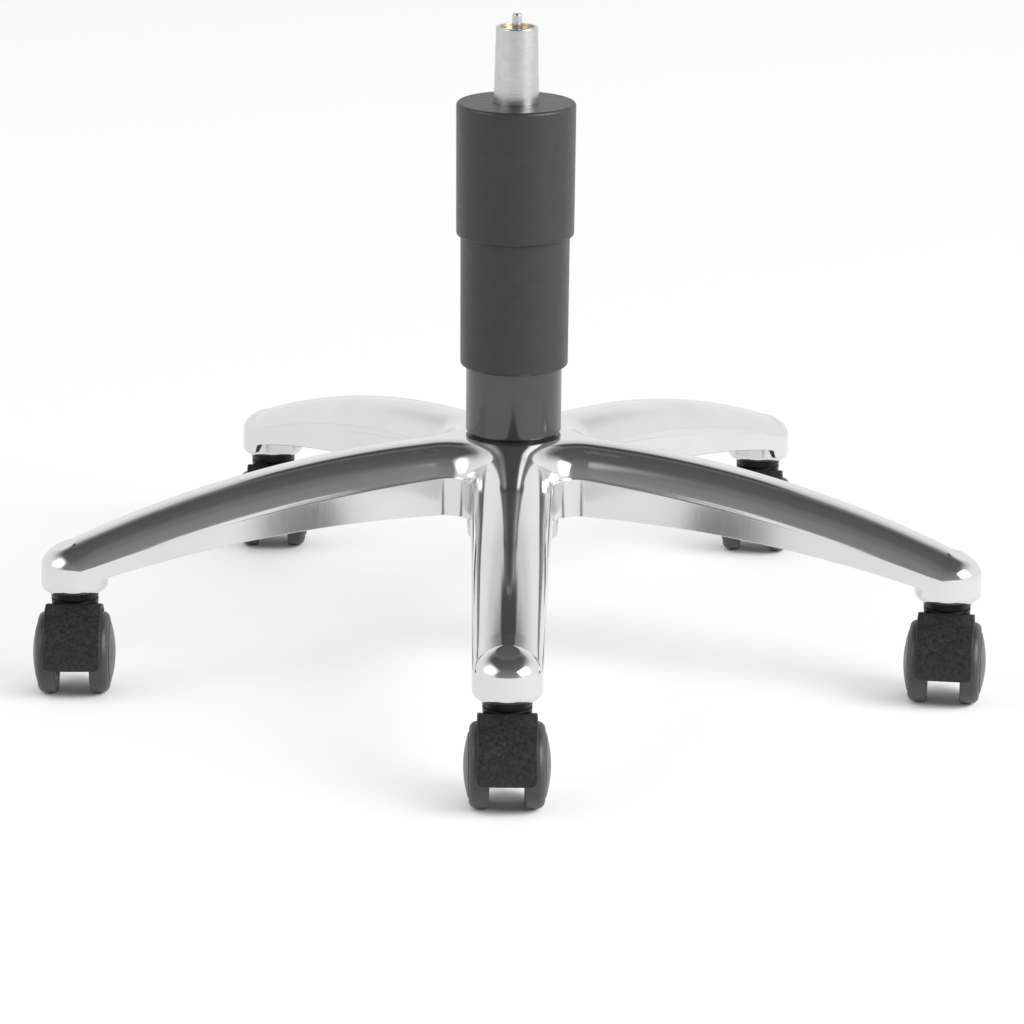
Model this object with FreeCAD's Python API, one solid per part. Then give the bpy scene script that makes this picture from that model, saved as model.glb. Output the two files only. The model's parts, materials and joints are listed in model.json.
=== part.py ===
import FreeCAD, Part

import math
import os

from FreeCAD import Vector

# Rolling pedestal of an anti-static work chair: a polished five-arm base on hooded twin-wheel
# castors, with a gas-spring column inside a three-part telescopic cover.
# Millimetres. The floor is z = 0, the column axis is x = y = 0 and the front arm points along -Y.

# Base casting
ARM_NAMES = ("front", "right", "rear_right", "rear_left", "left")
FRONT_ARM_DEG = -90.0
STEM_CIRCLE_RADIUS = 282.0
ARM_TIP_RADIUS = 20.5
ARM_TAPER_DEG = 1.53
ARM_CORNER_RADIUS = 15.0
SKIRT_DRAFT_DEG = 1.5
CROWN_INSET = 1.0
CROWN_LAND = 1.0
BOSS_DEPTH = 4.5
BOSS_ROUND = 4.0
SECTOR_INNER_RADIUS = 12.0
SECTOR_MARGIN_DEG = 12.0
CASTING_WALL = 4.0
RIB_COUNT = 3
RIB_THICKNESS = 3.5
POCKET_START = 44.0
POCKET_TIP_MARGIN = 24.0

# Side-view curves of an arm, as heights above the boss underside
CREST_HEIGHT = 79.1
CREST_LEVEL_RADIUS = 24.4
CREST_TIP_HEIGHT = 30.9
HUB_STATION = 48.0
MIDDLE_STATION = 165.0
CREASE_HUB_HEIGHT = 60.8
CREASE_MIDDLE_HEIGHT = 45.0
CREASE_END_HEIGHT = 20.1
CREASE_END_MARGIN = 12.0
CREASE_TIP_HEIGHT = 16.7
SKIRT_HUB_HEIGHT = 35.5
SKIRT_MIDDLE_HEIGHT = 29.7
SKIRT_END_HEIGHT = 10.4
SKIRT_END_MARGIN = 12.0
SKIRT_STEP_LENGTH = 3.5

# Hub and gas-spring column
COLUMN_RADIUS = 25.0
COLUMN_WALL = 2.0
COLUMN_TAPER = 0.0251
HUB_RADIUS = 33.0
HUB_FOOT_RADIUS = 28.5
HUB_DROP = 67.0
HUB_RIM_ROUND = 1.0
COLUMN_FOOT_DROP = 2.0
COLUMN_FLOOR = 4.0
COLUMN_TOP_GAP = 2.0
BUSH_LENGTH = 75.0
RUNNING_CLEARANCE = 0.05
ROD_RADIUS = 5.0
ROD_SPIGOT_RADIUS = 4.5
ROD_HOLE_CLEARANCE = 0.6
RACE_RADIUS = 15.0
RACE_THICKNESS = 2.0
BALL_RADIUS = 2.0
BALL_COUNT = 8
BALL_CIRCLE_RADIUS = 10.5
CAGE_WIDTH = 6.0
CAGE_THICKNESS = 2.0
BUFFER_RADIUS = 12.0
BUFFER_LENGTH = 9.0
CLIP_RADIUS = 8.0
CLIP_GROOVE_RADIUS = 3.5
CLIP_THICKNESS = 1.5
CLIP_GAP = 0.3
CLIP_MOUTH = 4.0
ROD_END = 3.0
PISTON_LENGTH = 12.0
PISTON_CLEARANCE = 0.1
PISTON_GROOVE_RADIUS = 10.4
PISTON_SEAL_LENGTH = 3.0
PISTON_SPIGOT_RADIUS = 3.5
PISTON_END_GAP = 1.0

# Lift: pressure tube, seat taper and release pin, at the height that the photograph shows
TUBE_RADIUS = 14.0
TUBE_WALL = 1.6
TUBE_END_GAP = 0.5
ROD_GUIDE_LENGTH = 12.0
LIFT_DOWN = 80.0
LIFT_UP = 40.0
SEAT_TAPER_START = 2.0
SEAT_TAPER_LENGTH = 45.0
SEAT_TAPER_CHAMFER = 0.8
VALVE_RADIUS = 10.6
VALVE_LENGTH = 31.0
VALVE_RECESS = 1.5
VALVE_FLOOR = 1.0
PIN_RADIUS = 3.0
PIN_PROUD = 8.0
PIN_TRAVEL = 4.5
PIN_TIP_ROUND = 1.2

# Telescopic cover
SLEEVE_DRAFT_DEG = 0.25
SLEEVE_WALL = 1.9
SLEEVE_LIP_ROUND = 2.2
SLEEVE_LIP_HEIGHT = 3.0
SLEEVE_GUIDE_HEIGHT = 4.0
SLEEVE_CLEARANCE = 0.3
COVER_GAP = 1.8
LOWER_SLEEVE_RADIUS = 29.9
LOWER_SLEEVE_ROUND = 0.6
LOWER_SLEEVE_LENGTH = 74.0
LOWER_SLEEVE_OVERLAP = 31.9
MIDDLE_SLEEVE_RADIUS = 33.65
MIDDLE_SLEEVE_LENGTH = 115.0
MIDDLE_SLEEVE_OVERLAP = 32.3
UPPER_SLEEVE_RADIUS = 36.65
UPPER_SLEEVE_LENGTH = 83.5
UPPER_SLEEVE_PLATE = 2.5
UPPER_SLEEVE_GRIP = 5.0
UPPER_SLEEVE_GRIP_WALL = 3.0

# Castors
CASTOR_HEADINGS_DEG = (1.0, -6.8, -4.5, 2.0, 2.1)
CASTOR_TRAIL = 14.5
WHEEL_RADIUS = 25.0
WHEEL_GAP = 20.3
TYRE_WIDTH = 11.7
TYRE_DEPTH = 7.0
TYRE_SHOULDER = 4.5
TYRE_INNER_ROUND = 1.2
RIM_INSET = 0.5
RIM_WALL = 2.2
RIM_HUB_WALL = 3.0
CAP_RADIUS = 18.75
CAP_EDGE = 0.5
CAP_DOME = 2.8
AXLE_RADIUS = 3.0
AXLE_END_GAP = 1.0
HOOD_WHEEL_GAP = 2.0
HOOD_THICKNESS = 2.7
HOOD_WIDTH = 34.8
HOOD_FRONT_DEG = -7.0
HOOD_BACK_DEG = 150.0
HOOD_CORNER = 4.0
WEB_SIDE_GAP = 0.75
WEB_FRONT_DEG = 50.0
WEB_BACK_DEG = 165.0
WEB_HUB_RADIUS = 10.0
COLLAR_RISE = 6.6
COLLAR_HEIGHT = 9.6
COLLAR_TOP_RADIUS = 14.85
COLLAR_FOOT_RADIUS = 14.1
COLLAR_GROOVE = 0.9
COLLAR_GROOVE_WIDTH = 1.0
COLLAR_BORE_RADIUS = 6.0
COLLAR_RUNNING_GAP = 0.3
COLLAR_POCKET_GAP = 0.4
SEAT_RIM = 1.4
STEM_RADIUS = 5.5
STEM_LENGTH = 22.0
STEM_NECK = 2.0
PINTLE_RADIUS = 4.0
PINTLE_LENGTH = 26.0
STEM_END_GAP = 1.0
GRIP_RING_HEIGHT = 12.0
GRIP_RING_THICKNESS = 2.0
GRIP_GROOVE_DEPTH = 0.8
GRIP_RING_PROUD = 0.5
GRIP_RING_MOUTH = 3.0

# How far a cut runs past the face that it opens, and how near two points are the same
CUT_MARGIN = 1.0
SAME_POINT = 0.001

# Worked-out values
ORIGIN = Vector(0, 0, 0)
UP = Vector(0, 0, 1)
HOOD_BORE_RADIUS = WHEEL_RADIUS + HOOD_WHEEL_GAP
HOOD_RADIUS = HOOD_BORE_RADIUS + HOOD_THICKNESS
BOSS_HEIGHT = WHEEL_RADIUS + HOOD_RADIUS + COLLAR_RISE
ARM_COUNT = len(ARM_NAMES)
ARM_HALF_ANGLE = math.pi / ARM_COUNT
ARM_TAPER = math.radians(ARM_TAPER_DEG)
SECTOR_OUTER_RADIUS = STEM_CIRCLE_RADIUS + 2 * ARM_TIP_RADIUS
CASTING_FLOOR = BOSS_HEIGHT + BOSS_DEPTH
HUB_TOP = BOSS_HEIGHT + CREST_HEIGHT
HUB_FOOT = HUB_TOP - HUB_DROP
COLUMN_FOOT = HUB_FOOT - COLUMN_FOOT_DROP
COLUMN_INNER_RADIUS = COLUMN_RADIUS - COLUMN_WALL
LOWER_RACE_FOOT = COLUMN_FOOT + COLUMN_FLOOR
BALL_HEIGHT = LOWER_RACE_FOOT + RACE_THICKNESS + RUNNING_CLEARANCE + BALL_RADIUS
UPPER_RACE_FOOT = BALL_HEIGHT + BALL_RADIUS + RUNNING_CLEARANCE
BUFFER_FOOT = UPPER_RACE_FOOT + RACE_THICKNESS
BUFFER_TOP = BUFFER_FOOT + BUFFER_LENGTH
LOWER_SLEEVE_FOOT = HUB_TOP + COVER_GAP
LOWER_SLEEVE_TOP = LOWER_SLEEVE_FOOT + LOWER_SLEEVE_LENGTH
MIDDLE_SLEEVE_FOOT = LOWER_SLEEVE_TOP - LOWER_SLEEVE_OVERLAP
MIDDLE_SLEEVE_TOP = MIDDLE_SLEEVE_FOOT + MIDDLE_SLEEVE_LENGTH
UPPER_SLEEVE_FOOT = MIDDLE_SLEEVE_TOP - MIDDLE_SLEEVE_OVERLAP
SEAT_FACE = UPPER_SLEEVE_FOOT + UPPER_SLEEVE_LENGTH
COLUMN_TOP = SEAT_FACE - UPPER_SLEEVE_GRIP - LIFT_DOWN - COLUMN_TOP_GAP
TUBE_BORE_RADIUS = TUBE_RADIUS - TUBE_WALL
TUBE_FOOT = BUFFER_TOP + LIFT_DOWN + TUBE_END_GAP
PISTON_FOOT = TUBE_FOOT + ROD_GUIDE_LENGTH + LIFT_UP + PISTON_END_GAP
PISTON_TOP = PISTON_FOOT + PISTON_LENGTH
SEAT_TAPER_FOOT = SEAT_FACE + SEAT_TAPER_START
SEAT_TAPER_TOP = SEAT_TAPER_FOOT + SEAT_TAPER_LENGTH
VALVE_TOP = SEAT_TAPER_TOP - VALVE_RECESS
SLEEVE_DRAFT = math.tan(math.radians(SLEEVE_DRAFT_DEG))
MIDDLE_SLEEVE_BORE = MIDDLE_SLEEVE_RADIUS - SLEEVE_WALL
UPPER_SLEEVE_BORE = UPPER_SLEEVE_RADIUS - SLEEVE_WALL
WHEEL_INNER_FACE = WHEEL_GAP / 2
TYRE_OUTER_FACE = WHEEL_INNER_FACE + TYRE_WIDTH
RIM_RADIUS = WHEEL_RADIUS - TYRE_DEPTH
WEB_HALF_WIDTH = WHEEL_INNER_FACE - WEB_SIDE_GAP
COLLAR_TOP = BOSS_HEIGHT - COLLAR_RUNNING_GAP
COLLAR_FOOT = BOSS_HEIGHT - COLLAR_HEIGHT
PINTLE_FOOT = COLLAR_TOP - STEM_NECK - PINTLE_LENGTH
GRIP_RING_FOOT = BOSS_HEIGHT + GRIP_RING_HEIGHT

nodes = {}


# Profiles and turned solids


def rounded_wire(corners):
    """Closed wire through corners (point, round radius, bulge of the side that leaves the corner)."""
    count = len(corners)
    ends = []
    arcs = []
    for i, (point, radius, _) in enumerate(corners):
        if radius == 0:
            ends.append((point, point))
            continue
        back = (corners[i - 1][0] - point).normalize()
        forth = (corners[(i + 1) % count][0] - point).normalize()
        half = back.getAngle(forth) / 2
        start = point + back * (radius / math.tan(half))
        finish = point + forth * (radius / math.tan(half))
        middle = point + (back + forth).normalize() * (radius / math.sin(half) - radius)
        ends.append((start, finish))
        arcs.append(Part.Arc(start, middle, finish).toShape())
    sides = []
    for i, (_, _, bulge) in enumerate(corners):
        start = ends[i][1]
        finish = ends[(i + 1) % count][0]
        if (finish - start).Length < SAME_POINT:
            continue
        if bulge == 0:
            sides.append(Part.makeLine(start, finish))
            continue
        along = (finish - start).normalize()
        outwards = along.cross(Vector(0, -1, 0))
        middle = (start + finish) * 0.5 + outwards * bulge
        sides.append(Part.Arc(start, middle, finish).toShape())
    return Part.Wire(Part.__sortEdges__(sides + arcs))


def turned(corners):
    """Solid turned about Z from corners (radius, height[, round[, bulge]])."""
    spots = []
    for corner in corners:
        radius, height, rounding, bulge = (tuple(corner) + (0, 0))[:4]
        spots.append((Vector(radius, 0, height), rounding, bulge))
    return Part.Face(rounded_wire(spots)).revolve(ORIGIN, UP, 360)


def ring(outer, inner, foot, top):
    return turned([(inner, foot), (outer, foot), (outer, top), (inner, top)])


def open_ring(outer, inner, foot, top, mouth):
    """Flat ring with a slot through one side, as on a snap ring."""
    corner = Vector(0, -mouth / 2, foot - CUT_MARGIN)
    slot = Part.makeBox(outer + CUT_MARGIN, mouth, top - foot + 2 * CUT_MARGIN, corner)
    return ring(outer, inner, foot, top).cut(slot)


# Base casting


def crest_height(radius):
    """Top line of an arm: one arc that starts level at the hub and falls to the tip."""
    fall = CREST_HEIGHT - CREST_TIP_HEIGHT
    reach = STEM_CIRCLE_RADIUS - CREST_LEVEL_RADIUS
    arc_radius = (reach ** 2 + fall ** 2) / (2 * fall)
    run = radius - CREST_LEVEL_RADIUS
    return HUB_TOP - arc_radius + math.sqrt(arc_radius ** 2 - run ** 2)


def side_point(radius, height):
    return Vector(radius, 0, height)


def crest_curve(drop):
    stations = (SECTOR_INNER_RADIUS, MIDDLE_STATION, SECTOR_OUTER_RADIUS)
    spots = [side_point(radius, crest_height(radius) - drop) for radius in stations]
    return [Part.Arc(*spots).toShape()]


def long_arc(hub_height, middle_height, end_radius, end_height):
    """Level stretch over the hub, then one arc down the arm."""
    hub = side_point(HUB_STATION, BOSS_HEIGHT + hub_height)
    middle = side_point(MIDDLE_STATION, BOSS_HEIGHT + middle_height)
    end = side_point(end_radius, BOSS_HEIGHT + end_height)
    level = Part.makeLine(side_point(SECTOR_INNER_RADIUS, hub.z), hub)
    return [level, Part.Arc(hub, middle, end).toShape()]


def crease_curve():
    """Edge between the rounded crown and the skirt, which levels out round the tip."""
    end_radius = STEM_CIRCLE_RADIUS - CREASE_END_MARGIN
    edges = long_arc(CREASE_HUB_HEIGHT, CREASE_MIDDLE_HEIGHT, end_radius, CREASE_END_HEIGHT)
    end = side_point(end_radius, BOSS_HEIGHT + CREASE_END_HEIGHT)
    tip = side_point(STEM_CIRCLE_RADIUS, BOSS_HEIGHT + CREASE_TIP_HEIGHT)
    edges.append(Part.makeLine(end, tip))
    edges.append(Part.makeLine(tip, side_point(SECTOR_OUTER_RADIUS, tip.z)))
    return edges


def skirt_curve():
    """Lower edge of the skirt, which drops in an S-curve to the cup at the tip."""
    start_radius = STEM_CIRCLE_RADIUS - SKIRT_END_MARGIN
    edges = long_arc(SKIRT_HUB_HEIGHT, SKIRT_MIDDLE_HEIGHT, start_radius, SKIRT_END_HEIGHT)
    start = side_point(start_radius, BOSS_HEIGHT + SKIRT_END_HEIGHT)
    finish = side_point(start_radius + SKIRT_STEP_LENGTH, CASTING_FLOOR)
    middle = (start.x + finish.x) / 2
    step = Part.BezierCurve()
    step.setPoles([start, side_point(middle, start.z), side_point(middle, finish.z), finish])
    edges.append(step.toShape())
    edges.append(Part.makeLine(finish, side_point(SECTOR_OUTER_RADIUS, CASTING_FLOOR)))
    return edges


def flat_curve(height):
    start = side_point(SECTOR_INNER_RADIUS, height)
    return [Part.makeLine(start, side_point(SECTOR_OUTER_RADIUS, height))]


def swept_between(top, bottom):
    """Solid between two side-view curves, turned through a little more than half an arm's share."""
    inner = Part.makeLine(bottom[0].Vertexes[0].Point, top[0].Vertexes[0].Point)
    outer = Part.makeLine(bottom[-1].Vertexes[-1].Point, top[-1].Vertexes[-1].Point)
    wire = Part.Wire(Part.__sortEdges__(top + bottom + [inner, outer]))
    turn_deg = math.degrees(ARM_HALF_ANGLE) + 2 * SECTOR_MARGIN_DEG
    solid = Part.Face(wire).revolve(ORIGIN, UP, turn_deg)
    solid.rotate(ORIGIN, UP, -SECTOR_MARGIN_DEG)
    return solid


def half_arm_wire(inset, height):
    """Plan outline of half an arm along +X, from its centre line to the middle of the corner."""
    tip = ARM_TIP_RADIUS - inset
    corner = ARM_CORNER_RADIUS + inset
    slope = Vector(math.sin(ARM_TAPER), math.cos(ARM_TAPER), 0)
    bisector = Vector(math.cos(ARM_HALF_ANGLE), math.sin(ARM_HALF_ANGLE), 0)
    reach = tip + corner + STEM_CIRCLE_RADIUS * math.sin(ARM_TAPER)
    corner_centre = bisector * (reach / math.sin(ARM_HALF_ANGLE + ARM_TAPER))
    stem = Vector(STEM_CIRCLE_RADIUS, 0, 0)
    nose = stem + Vector(tip, 0, 0)
    nose_middle = stem + (slope + Vector(1, 0, 0)).normalize() * tip
    shoulder = stem + slope * tip
    wall_end = corner_centre - slope * corner
    corner_end = corner_centre - bisector * corner
    corner_middle = corner_centre - (slope + bisector).normalize() * corner
    start = Vector(SECTOR_INNER_RADIUS, 0, 0)
    edges = [
        Part.makeLine(start, nose),
        Part.Arc(nose, nose_middle, shoulder).toShape(),
        Part.makeLine(shoulder, wall_end),
        Part.Arc(wall_end, corner_middle, corner_end).toShape(),
        Part.makeLine(corner_end, bisector * SECTOR_INNER_RADIUS),
        Part.makeLine(bisector * SECTOR_INNER_RADIUS, start),
    ]
    wire = Part.Wire(edges)
    wire.translate(UP * height)
    return wire


def half_width_at_corner(inset):
    """Half the arm's width where its straight wall ends in the corner between two arms."""
    corner = ARM_CORNER_RADIUS + inset
    tip = ARM_TIP_RADIUS - inset
    reach = tip + corner + STEM_CIRCLE_RADIUS * math.sin(ARM_TAPER)
    corner_offset = reach * math.sin(ARM_HALF_ANGLE) / math.sin(ARM_HALF_ANGLE + ARM_TAPER)
    return corner_offset - corner * math.cos(ARM_TAPER)


def rounded_half_arm(inset, drop, bottom):
    """Half an arm under the crest curve, with its top edge rounded almost to the centre line."""
    prism = Part.Face(half_arm_wire(inset, 0)).extrude(UP * 2 * HUB_TOP)
    body = prism.common(swept_between(crest_curve(drop), bottom)).Solids[0]
    root_round = half_width_at_corner(inset) - CROWN_LAND
    tip_round = ARM_TIP_RADIUS - inset - CROWN_LAND
    wall = long_top_edge(body)
    starts_at_hub = wall.Vertexes[0].X < wall.Vertexes[-1].X
    radii = (root_round, tip_round) if starts_at_hub else (tip_round, root_round)
    return body.makeFillet(*radii, [wall])


def long_top_edge(body):
    """The highest long edge away from the arm's centre plane: the top of its side wall."""
    best = None
    for edge in body.Edges:
        off_plane = min(abs(vertex.Y) for vertex in edge.Vertexes) > CROWN_LAND
        long_enough = edge.Length > STEM_CIRCLE_RADIUS / 2
        if off_plane and long_enough and (best is None or edge.CenterOfMass.z > best.CenterOfMass.z):
            best = edge
    return best


def drafted_half_skirt():
    rise = HUB_TOP - CASTING_FLOOR
    top_inset = rise * math.tan(math.radians(SKIRT_DRAFT_DEG))
    wires = [half_arm_wire(0, CASTING_FLOOR), half_arm_wire(top_inset, HUB_TOP)]
    walls = Part.makeLoft(wires, True, True)
    return walls.common(swept_between(crease_curve(), skirt_curve()))


def with_mirror(half):
    return half.fuse(half.mirror(ORIGIN, Vector(0, 1, 0)))


def arm_pockets():
    """Hollows under the arm, parted by cross ribs, that leave an even wall below the crown."""
    inset = CROWN_INSET + CASTING_WALL
    half = rounded_half_arm(inset, CASTING_WALL, flat_curve(BOSS_HEIGHT))
    channel = with_mirror(half)
    length = STEM_CIRCLE_RADIUS - POCKET_TIP_MARGIN - POCKET_START
    cell = (length - RIB_COUNT * RIB_THICKNESS) / (RIB_COUNT + 1)
    cells = []
    for i in range(RIB_COUNT + 1):
        corner = Vector(POCKET_START + i * (cell + RIB_THICKNESS), -HUB_TOP, 0)
        cells.append(Part.makeBox(cell, 2 * HUB_TOP, 2 * HUB_TOP, corner))
    return channel.common(Part.makeCompound(cells))


def stem_socket():
    """Bore for a castor stem, with the groove that its grip ring snaps into."""
    depth = STEM_LENGTH + STEM_END_GAP
    mouth = Vector(0, 0, BOSS_HEIGHT - CUT_MARGIN)
    bore = Part.makeCylinder(STEM_RADIUS, depth + CUT_MARGIN, mouth)
    groove = Part.makeCylinder(
        STEM_RADIUS + GRIP_RING_PROUD, GRIP_RING_THICKNESS, Vector(0, 0, GRIP_RING_FOOT)
    )
    return bore.fuse(groove)


def castor_boss():
    """Round cup that closes the arm tip below the skirt and holds the castor stem."""
    top = BOSS_HEIGHT + SKIRT_END_HEIGHT + CASTING_WALL
    top_radius = ARM_TIP_RADIUS - (top - CASTING_FLOOR) * math.tan(math.radians(SKIRT_DRAFT_DEG))
    return turned(
        [
            (0, BOSS_HEIGHT),
            (ARM_TIP_RADIUS, BOSS_HEIGHT, BOSS_ROUND),
            (ARM_TIP_RADIUS, CASTING_FLOOR),
            (top_radius, top),
            (0, top),
        ]
    )


def arm():
    half = rounded_half_arm(CROWN_INSET, 0, skirt_curve()).fuse(drafted_half_skirt())
    body = with_mirror(half).cut(arm_pockets())
    boss = castor_boss()
    socket = stem_socket()
    for shape in (boss, socket):
        shape.translate(Vector(STEM_CIRCLE_RADIUS, 0, 0))
    return body.fuse(boss).cut(socket)


def column_cone(foot, top):
    """The 1:20 locking taper of the column, from foot up to top."""
    low = COLUMN_RADIUS - (HUB_TOP - foot) * COLUMN_TAPER
    high = COLUMN_RADIUS - (HUB_TOP - top) * COLUMN_TAPER
    return Part.makeCone(low, high, top - foot, Vector(0, 0, foot))


def make_star_base():
    one = arm()
    arms = []
    for i in range(ARM_COUNT):
        copy = one.copy()
        copy.rotate(ORIGIN, UP, arm_angle(i))
        arms.append(copy)
    hub_roof = HUB_TOP - HUB_RIM_ROUND
    hub = Part.makeCone(HUB_FOOT_RADIUS, HUB_RADIUS, hub_roof - HUB_FOOT, Vector(0, 0, HUB_FOOT))
    star = arms[0].multiFuse(arms[1:] + [hub])
    socket = column_cone(HUB_FOOT - CUT_MARGIN, HUB_TOP + CUT_MARGIN)
    nodes["star_base"] = star.cut(socket).removeSplitter()


def arm_angle(index):
    return FRONT_ARM_DEG + index * 360.0 / ARM_COUNT


# Gas-spring column


def make_column_tube():
    """Outer tube with the locking taper at its foot and a floor for the thrust bearing."""
    straight = Part.makeCylinder(COLUMN_RADIUS, COLUMN_TOP - HUB_TOP, Vector(0, 0, HUB_TOP))
    outside = column_cone(COLUMN_FOOT, HUB_TOP).fuse(straight)
    foot_bore = COLUMN_RADIUS - (HUB_TOP - COLUMN_FOOT) * COLUMN_TAPER - COLUMN_WALL
    inside = turned(
        [
            (0, LOWER_RACE_FOOT),
            (foot_bore, LOWER_RACE_FOOT),
            (COLUMN_INNER_RADIUS, HUB_TOP),
            (COLUMN_INNER_RADIUS, COLUMN_TOP),
            (0, COLUMN_TOP),
        ]
    )
    hole = Part.makeCylinder(
        ROD_SPIGOT_RADIUS + ROD_HOLE_CLEARANCE, COLUMN_FLOOR, Vector(0, 0, COLUMN_FOOT)
    )
    nodes["column_tube"] = outside.cut(inside).cut(hole).removeSplitter()


def make_guide_bush():
    bore = TUBE_RADIUS + RUNNING_CLEARANCE
    nodes["guide_bush"] = ring(COLUMN_INNER_RADIUS, bore, COLUMN_TOP - BUSH_LENGTH, COLUMN_TOP)


def make_thrust_bearing():
    lower_bore = ROD_SPIGOT_RADIUS + ROD_HOLE_CLEARANCE
    lower_top = LOWER_RACE_FOOT + RACE_THICKNESS
    nodes["bearing_lower_race"] = ring(RACE_RADIUS, lower_bore, LOWER_RACE_FOOT, lower_top)
    nodes["bearing_upper_race"] = ring(RACE_RADIUS, ROD_SPIGOT_RADIUS, UPPER_RACE_FOOT, BUFFER_FOOT)
    cage = ring(
        BALL_CIRCLE_RADIUS + CAGE_WIDTH / 2,
        BALL_CIRCLE_RADIUS - CAGE_WIDTH / 2,
        BALL_HEIGHT - CAGE_THICKNESS / 2,
        BALL_HEIGHT + CAGE_THICKNESS / 2,
    )
    balls = []
    for i in range(BALL_COUNT):
        turn = 2 * math.pi * i / BALL_COUNT
        spot = Vector(math.cos(turn), math.sin(turn), 0) * BALL_CIRCLE_RADIUS + UP * BALL_HEIGHT
        balls.append(Part.makeSphere(BALL_RADIUS, spot))
        pocket_foot = spot - UP * (CAGE_THICKNESS / 2)
        pocket = Part.makeCylinder(BALL_RADIUS + RUNNING_CLEARANCE, CAGE_THICKNESS, pocket_foot)
        cage = cage.cut(pocket)
    nodes["bearing_cage"] = cage
    nodes["bearing_balls"] = Part.makeCompound(balls)


def make_piston_rod():
    clip_top = COLUMN_FOOT - CLIP_GAP
    clip_foot = clip_top - CLIP_THICKNESS
    nodes["piston_rod"] = turned(
        [
            (0, clip_foot - ROD_END),
            (ROD_SPIGOT_RADIUS, clip_foot - ROD_END),
            (ROD_SPIGOT_RADIUS, clip_foot),
            (CLIP_GROOVE_RADIUS, clip_foot),
            (CLIP_GROOVE_RADIUS, clip_top),
            (ROD_SPIGOT_RADIUS, clip_top),
            (ROD_SPIGOT_RADIUS, BUFFER_FOOT),
            (ROD_RADIUS, BUFFER_FOOT),
            (ROD_RADIUS, PISTON_FOOT),
            (PISTON_SPIGOT_RADIUS, PISTON_FOOT),
            (PISTON_SPIGOT_RADIUS, PISTON_TOP),
            (0, PISTON_TOP),
        ]
    )
    nodes["rod_clip"] = open_ring(CLIP_RADIUS, CLIP_GROOVE_RADIUS, clip_foot, clip_top, CLIP_MOUTH)
    nodes["buffer_ring"] = ring(BUFFER_RADIUS, ROD_RADIUS, BUFFER_FOOT, BUFFER_TOP)
    piston_radius = TUBE_BORE_RADIUS - PISTON_CLEARANCE
    seal_foot = PISTON_FOOT + (PISTON_LENGTH - PISTON_SEAL_LENGTH) / 2
    seal_top = seal_foot + PISTON_SEAL_LENGTH
    groove = ring(TUBE_BORE_RADIUS, PISTON_GROOVE_RADIUS, seal_foot, seal_top)
    piston = ring(piston_radius, PISTON_SPIGOT_RADIUS, PISTON_FOOT, PISTON_TOP)
    nodes["piston"] = piston.cut(groove)
    seal_radius = TUBE_BORE_RADIUS - RUNNING_CLEARANCE
    nodes["piston_seal"] = ring(seal_radius, PISTON_GROOVE_RADIUS, seal_foot, seal_top)


# Lift


def make_pressure_tube():
    """Pressure tube that slides in the guide bush and ends in the taper that carries the seat."""
    top_radius = TUBE_RADIUS - SEAT_TAPER_LENGTH * COLUMN_TAPER
    neck = PISTON_TOP + LIFT_DOWN + PISTON_END_GAP
    nodes["pressure_tube"] = turned(
        [
            (TUBE_BORE_RADIUS, TUBE_FOOT),
            (TUBE_RADIUS, TUBE_FOOT),
            (TUBE_RADIUS, SEAT_TAPER_FOOT),
            (top_radius + SEAT_TAPER_CHAMFER * COLUMN_TAPER, SEAT_TAPER_TOP - SEAT_TAPER_CHAMFER),
            (top_radius - SEAT_TAPER_CHAMFER, SEAT_TAPER_TOP),
            (VALVE_RADIUS, SEAT_TAPER_TOP),
            (VALVE_RADIUS, neck + TUBE_BORE_RADIUS - VALVE_RADIUS),
            (TUBE_BORE_RADIUS, neck),
        ]
    )
    guide_bore = ROD_RADIUS + RUNNING_CLEARANCE
    nodes["rod_guide"] = ring(TUBE_BORE_RADIUS, guide_bore, TUBE_FOOT, TUBE_FOOT + ROD_GUIDE_LENGTH)


def make_release_valve():
    foot = VALVE_TOP - VALVE_LENGTH
    bore = PIN_RADIUS + RUNNING_CLEARANCE
    body = Part.makeCylinder(VALVE_RADIUS, VALVE_LENGTH, Vector(0, 0, foot))
    passage = Part.makeCylinder(bore, VALVE_LENGTH - VALVE_FLOOR, Vector(0, 0, foot + VALVE_FLOOR))
    nodes["valve_body"] = body.cut(passage)
    pin_foot = foot + VALVE_FLOOR + PIN_TRAVEL + CLIP_GAP
    pin_top = SEAT_TAPER_TOP + PIN_PROUD
    nodes["release_pin"] = turned(
        [(0, pin_foot), (PIN_RADIUS, pin_foot), (PIN_RADIUS, pin_top, PIN_TIP_ROUND), (0, pin_top)]
    )


# Telescopic cover


def drafted(radius, run):
    return radius + run * SLEEVE_DRAFT


def make_lower_sleeve():
    """Innermost cover, gripping the column tube by a flange and guiding the next one at its top."""
    foot = LOWER_SLEEVE_FOOT
    top = LOWER_SLEEVE_TOP
    bore = LOWER_SLEEVE_RADIUS - SLEEVE_WALL
    guide = MIDDLE_SLEEVE_BORE - SLEEVE_CLEARANCE
    wall_top = drafted(LOWER_SLEEVE_RADIUS, LOWER_SLEEVE_LENGTH - SLEEVE_GUIDE_HEIGHT)
    nodes["lower_sleeve"] = turned(
        [
            (COLUMN_RADIUS, foot),
            (LOWER_SLEEVE_RADIUS, foot, LOWER_SLEEVE_ROUND),
            (wall_top, top - SLEEVE_GUIDE_HEIGHT),
            (guide, top - SLEEVE_GUIDE_HEIGHT),
            (guide, top),
            (bore, top),
            (bore, foot + SLEEVE_LIP_HEIGHT),
            (COLUMN_RADIUS, foot + SLEEVE_LIP_HEIGHT),
        ]
    )


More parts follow.
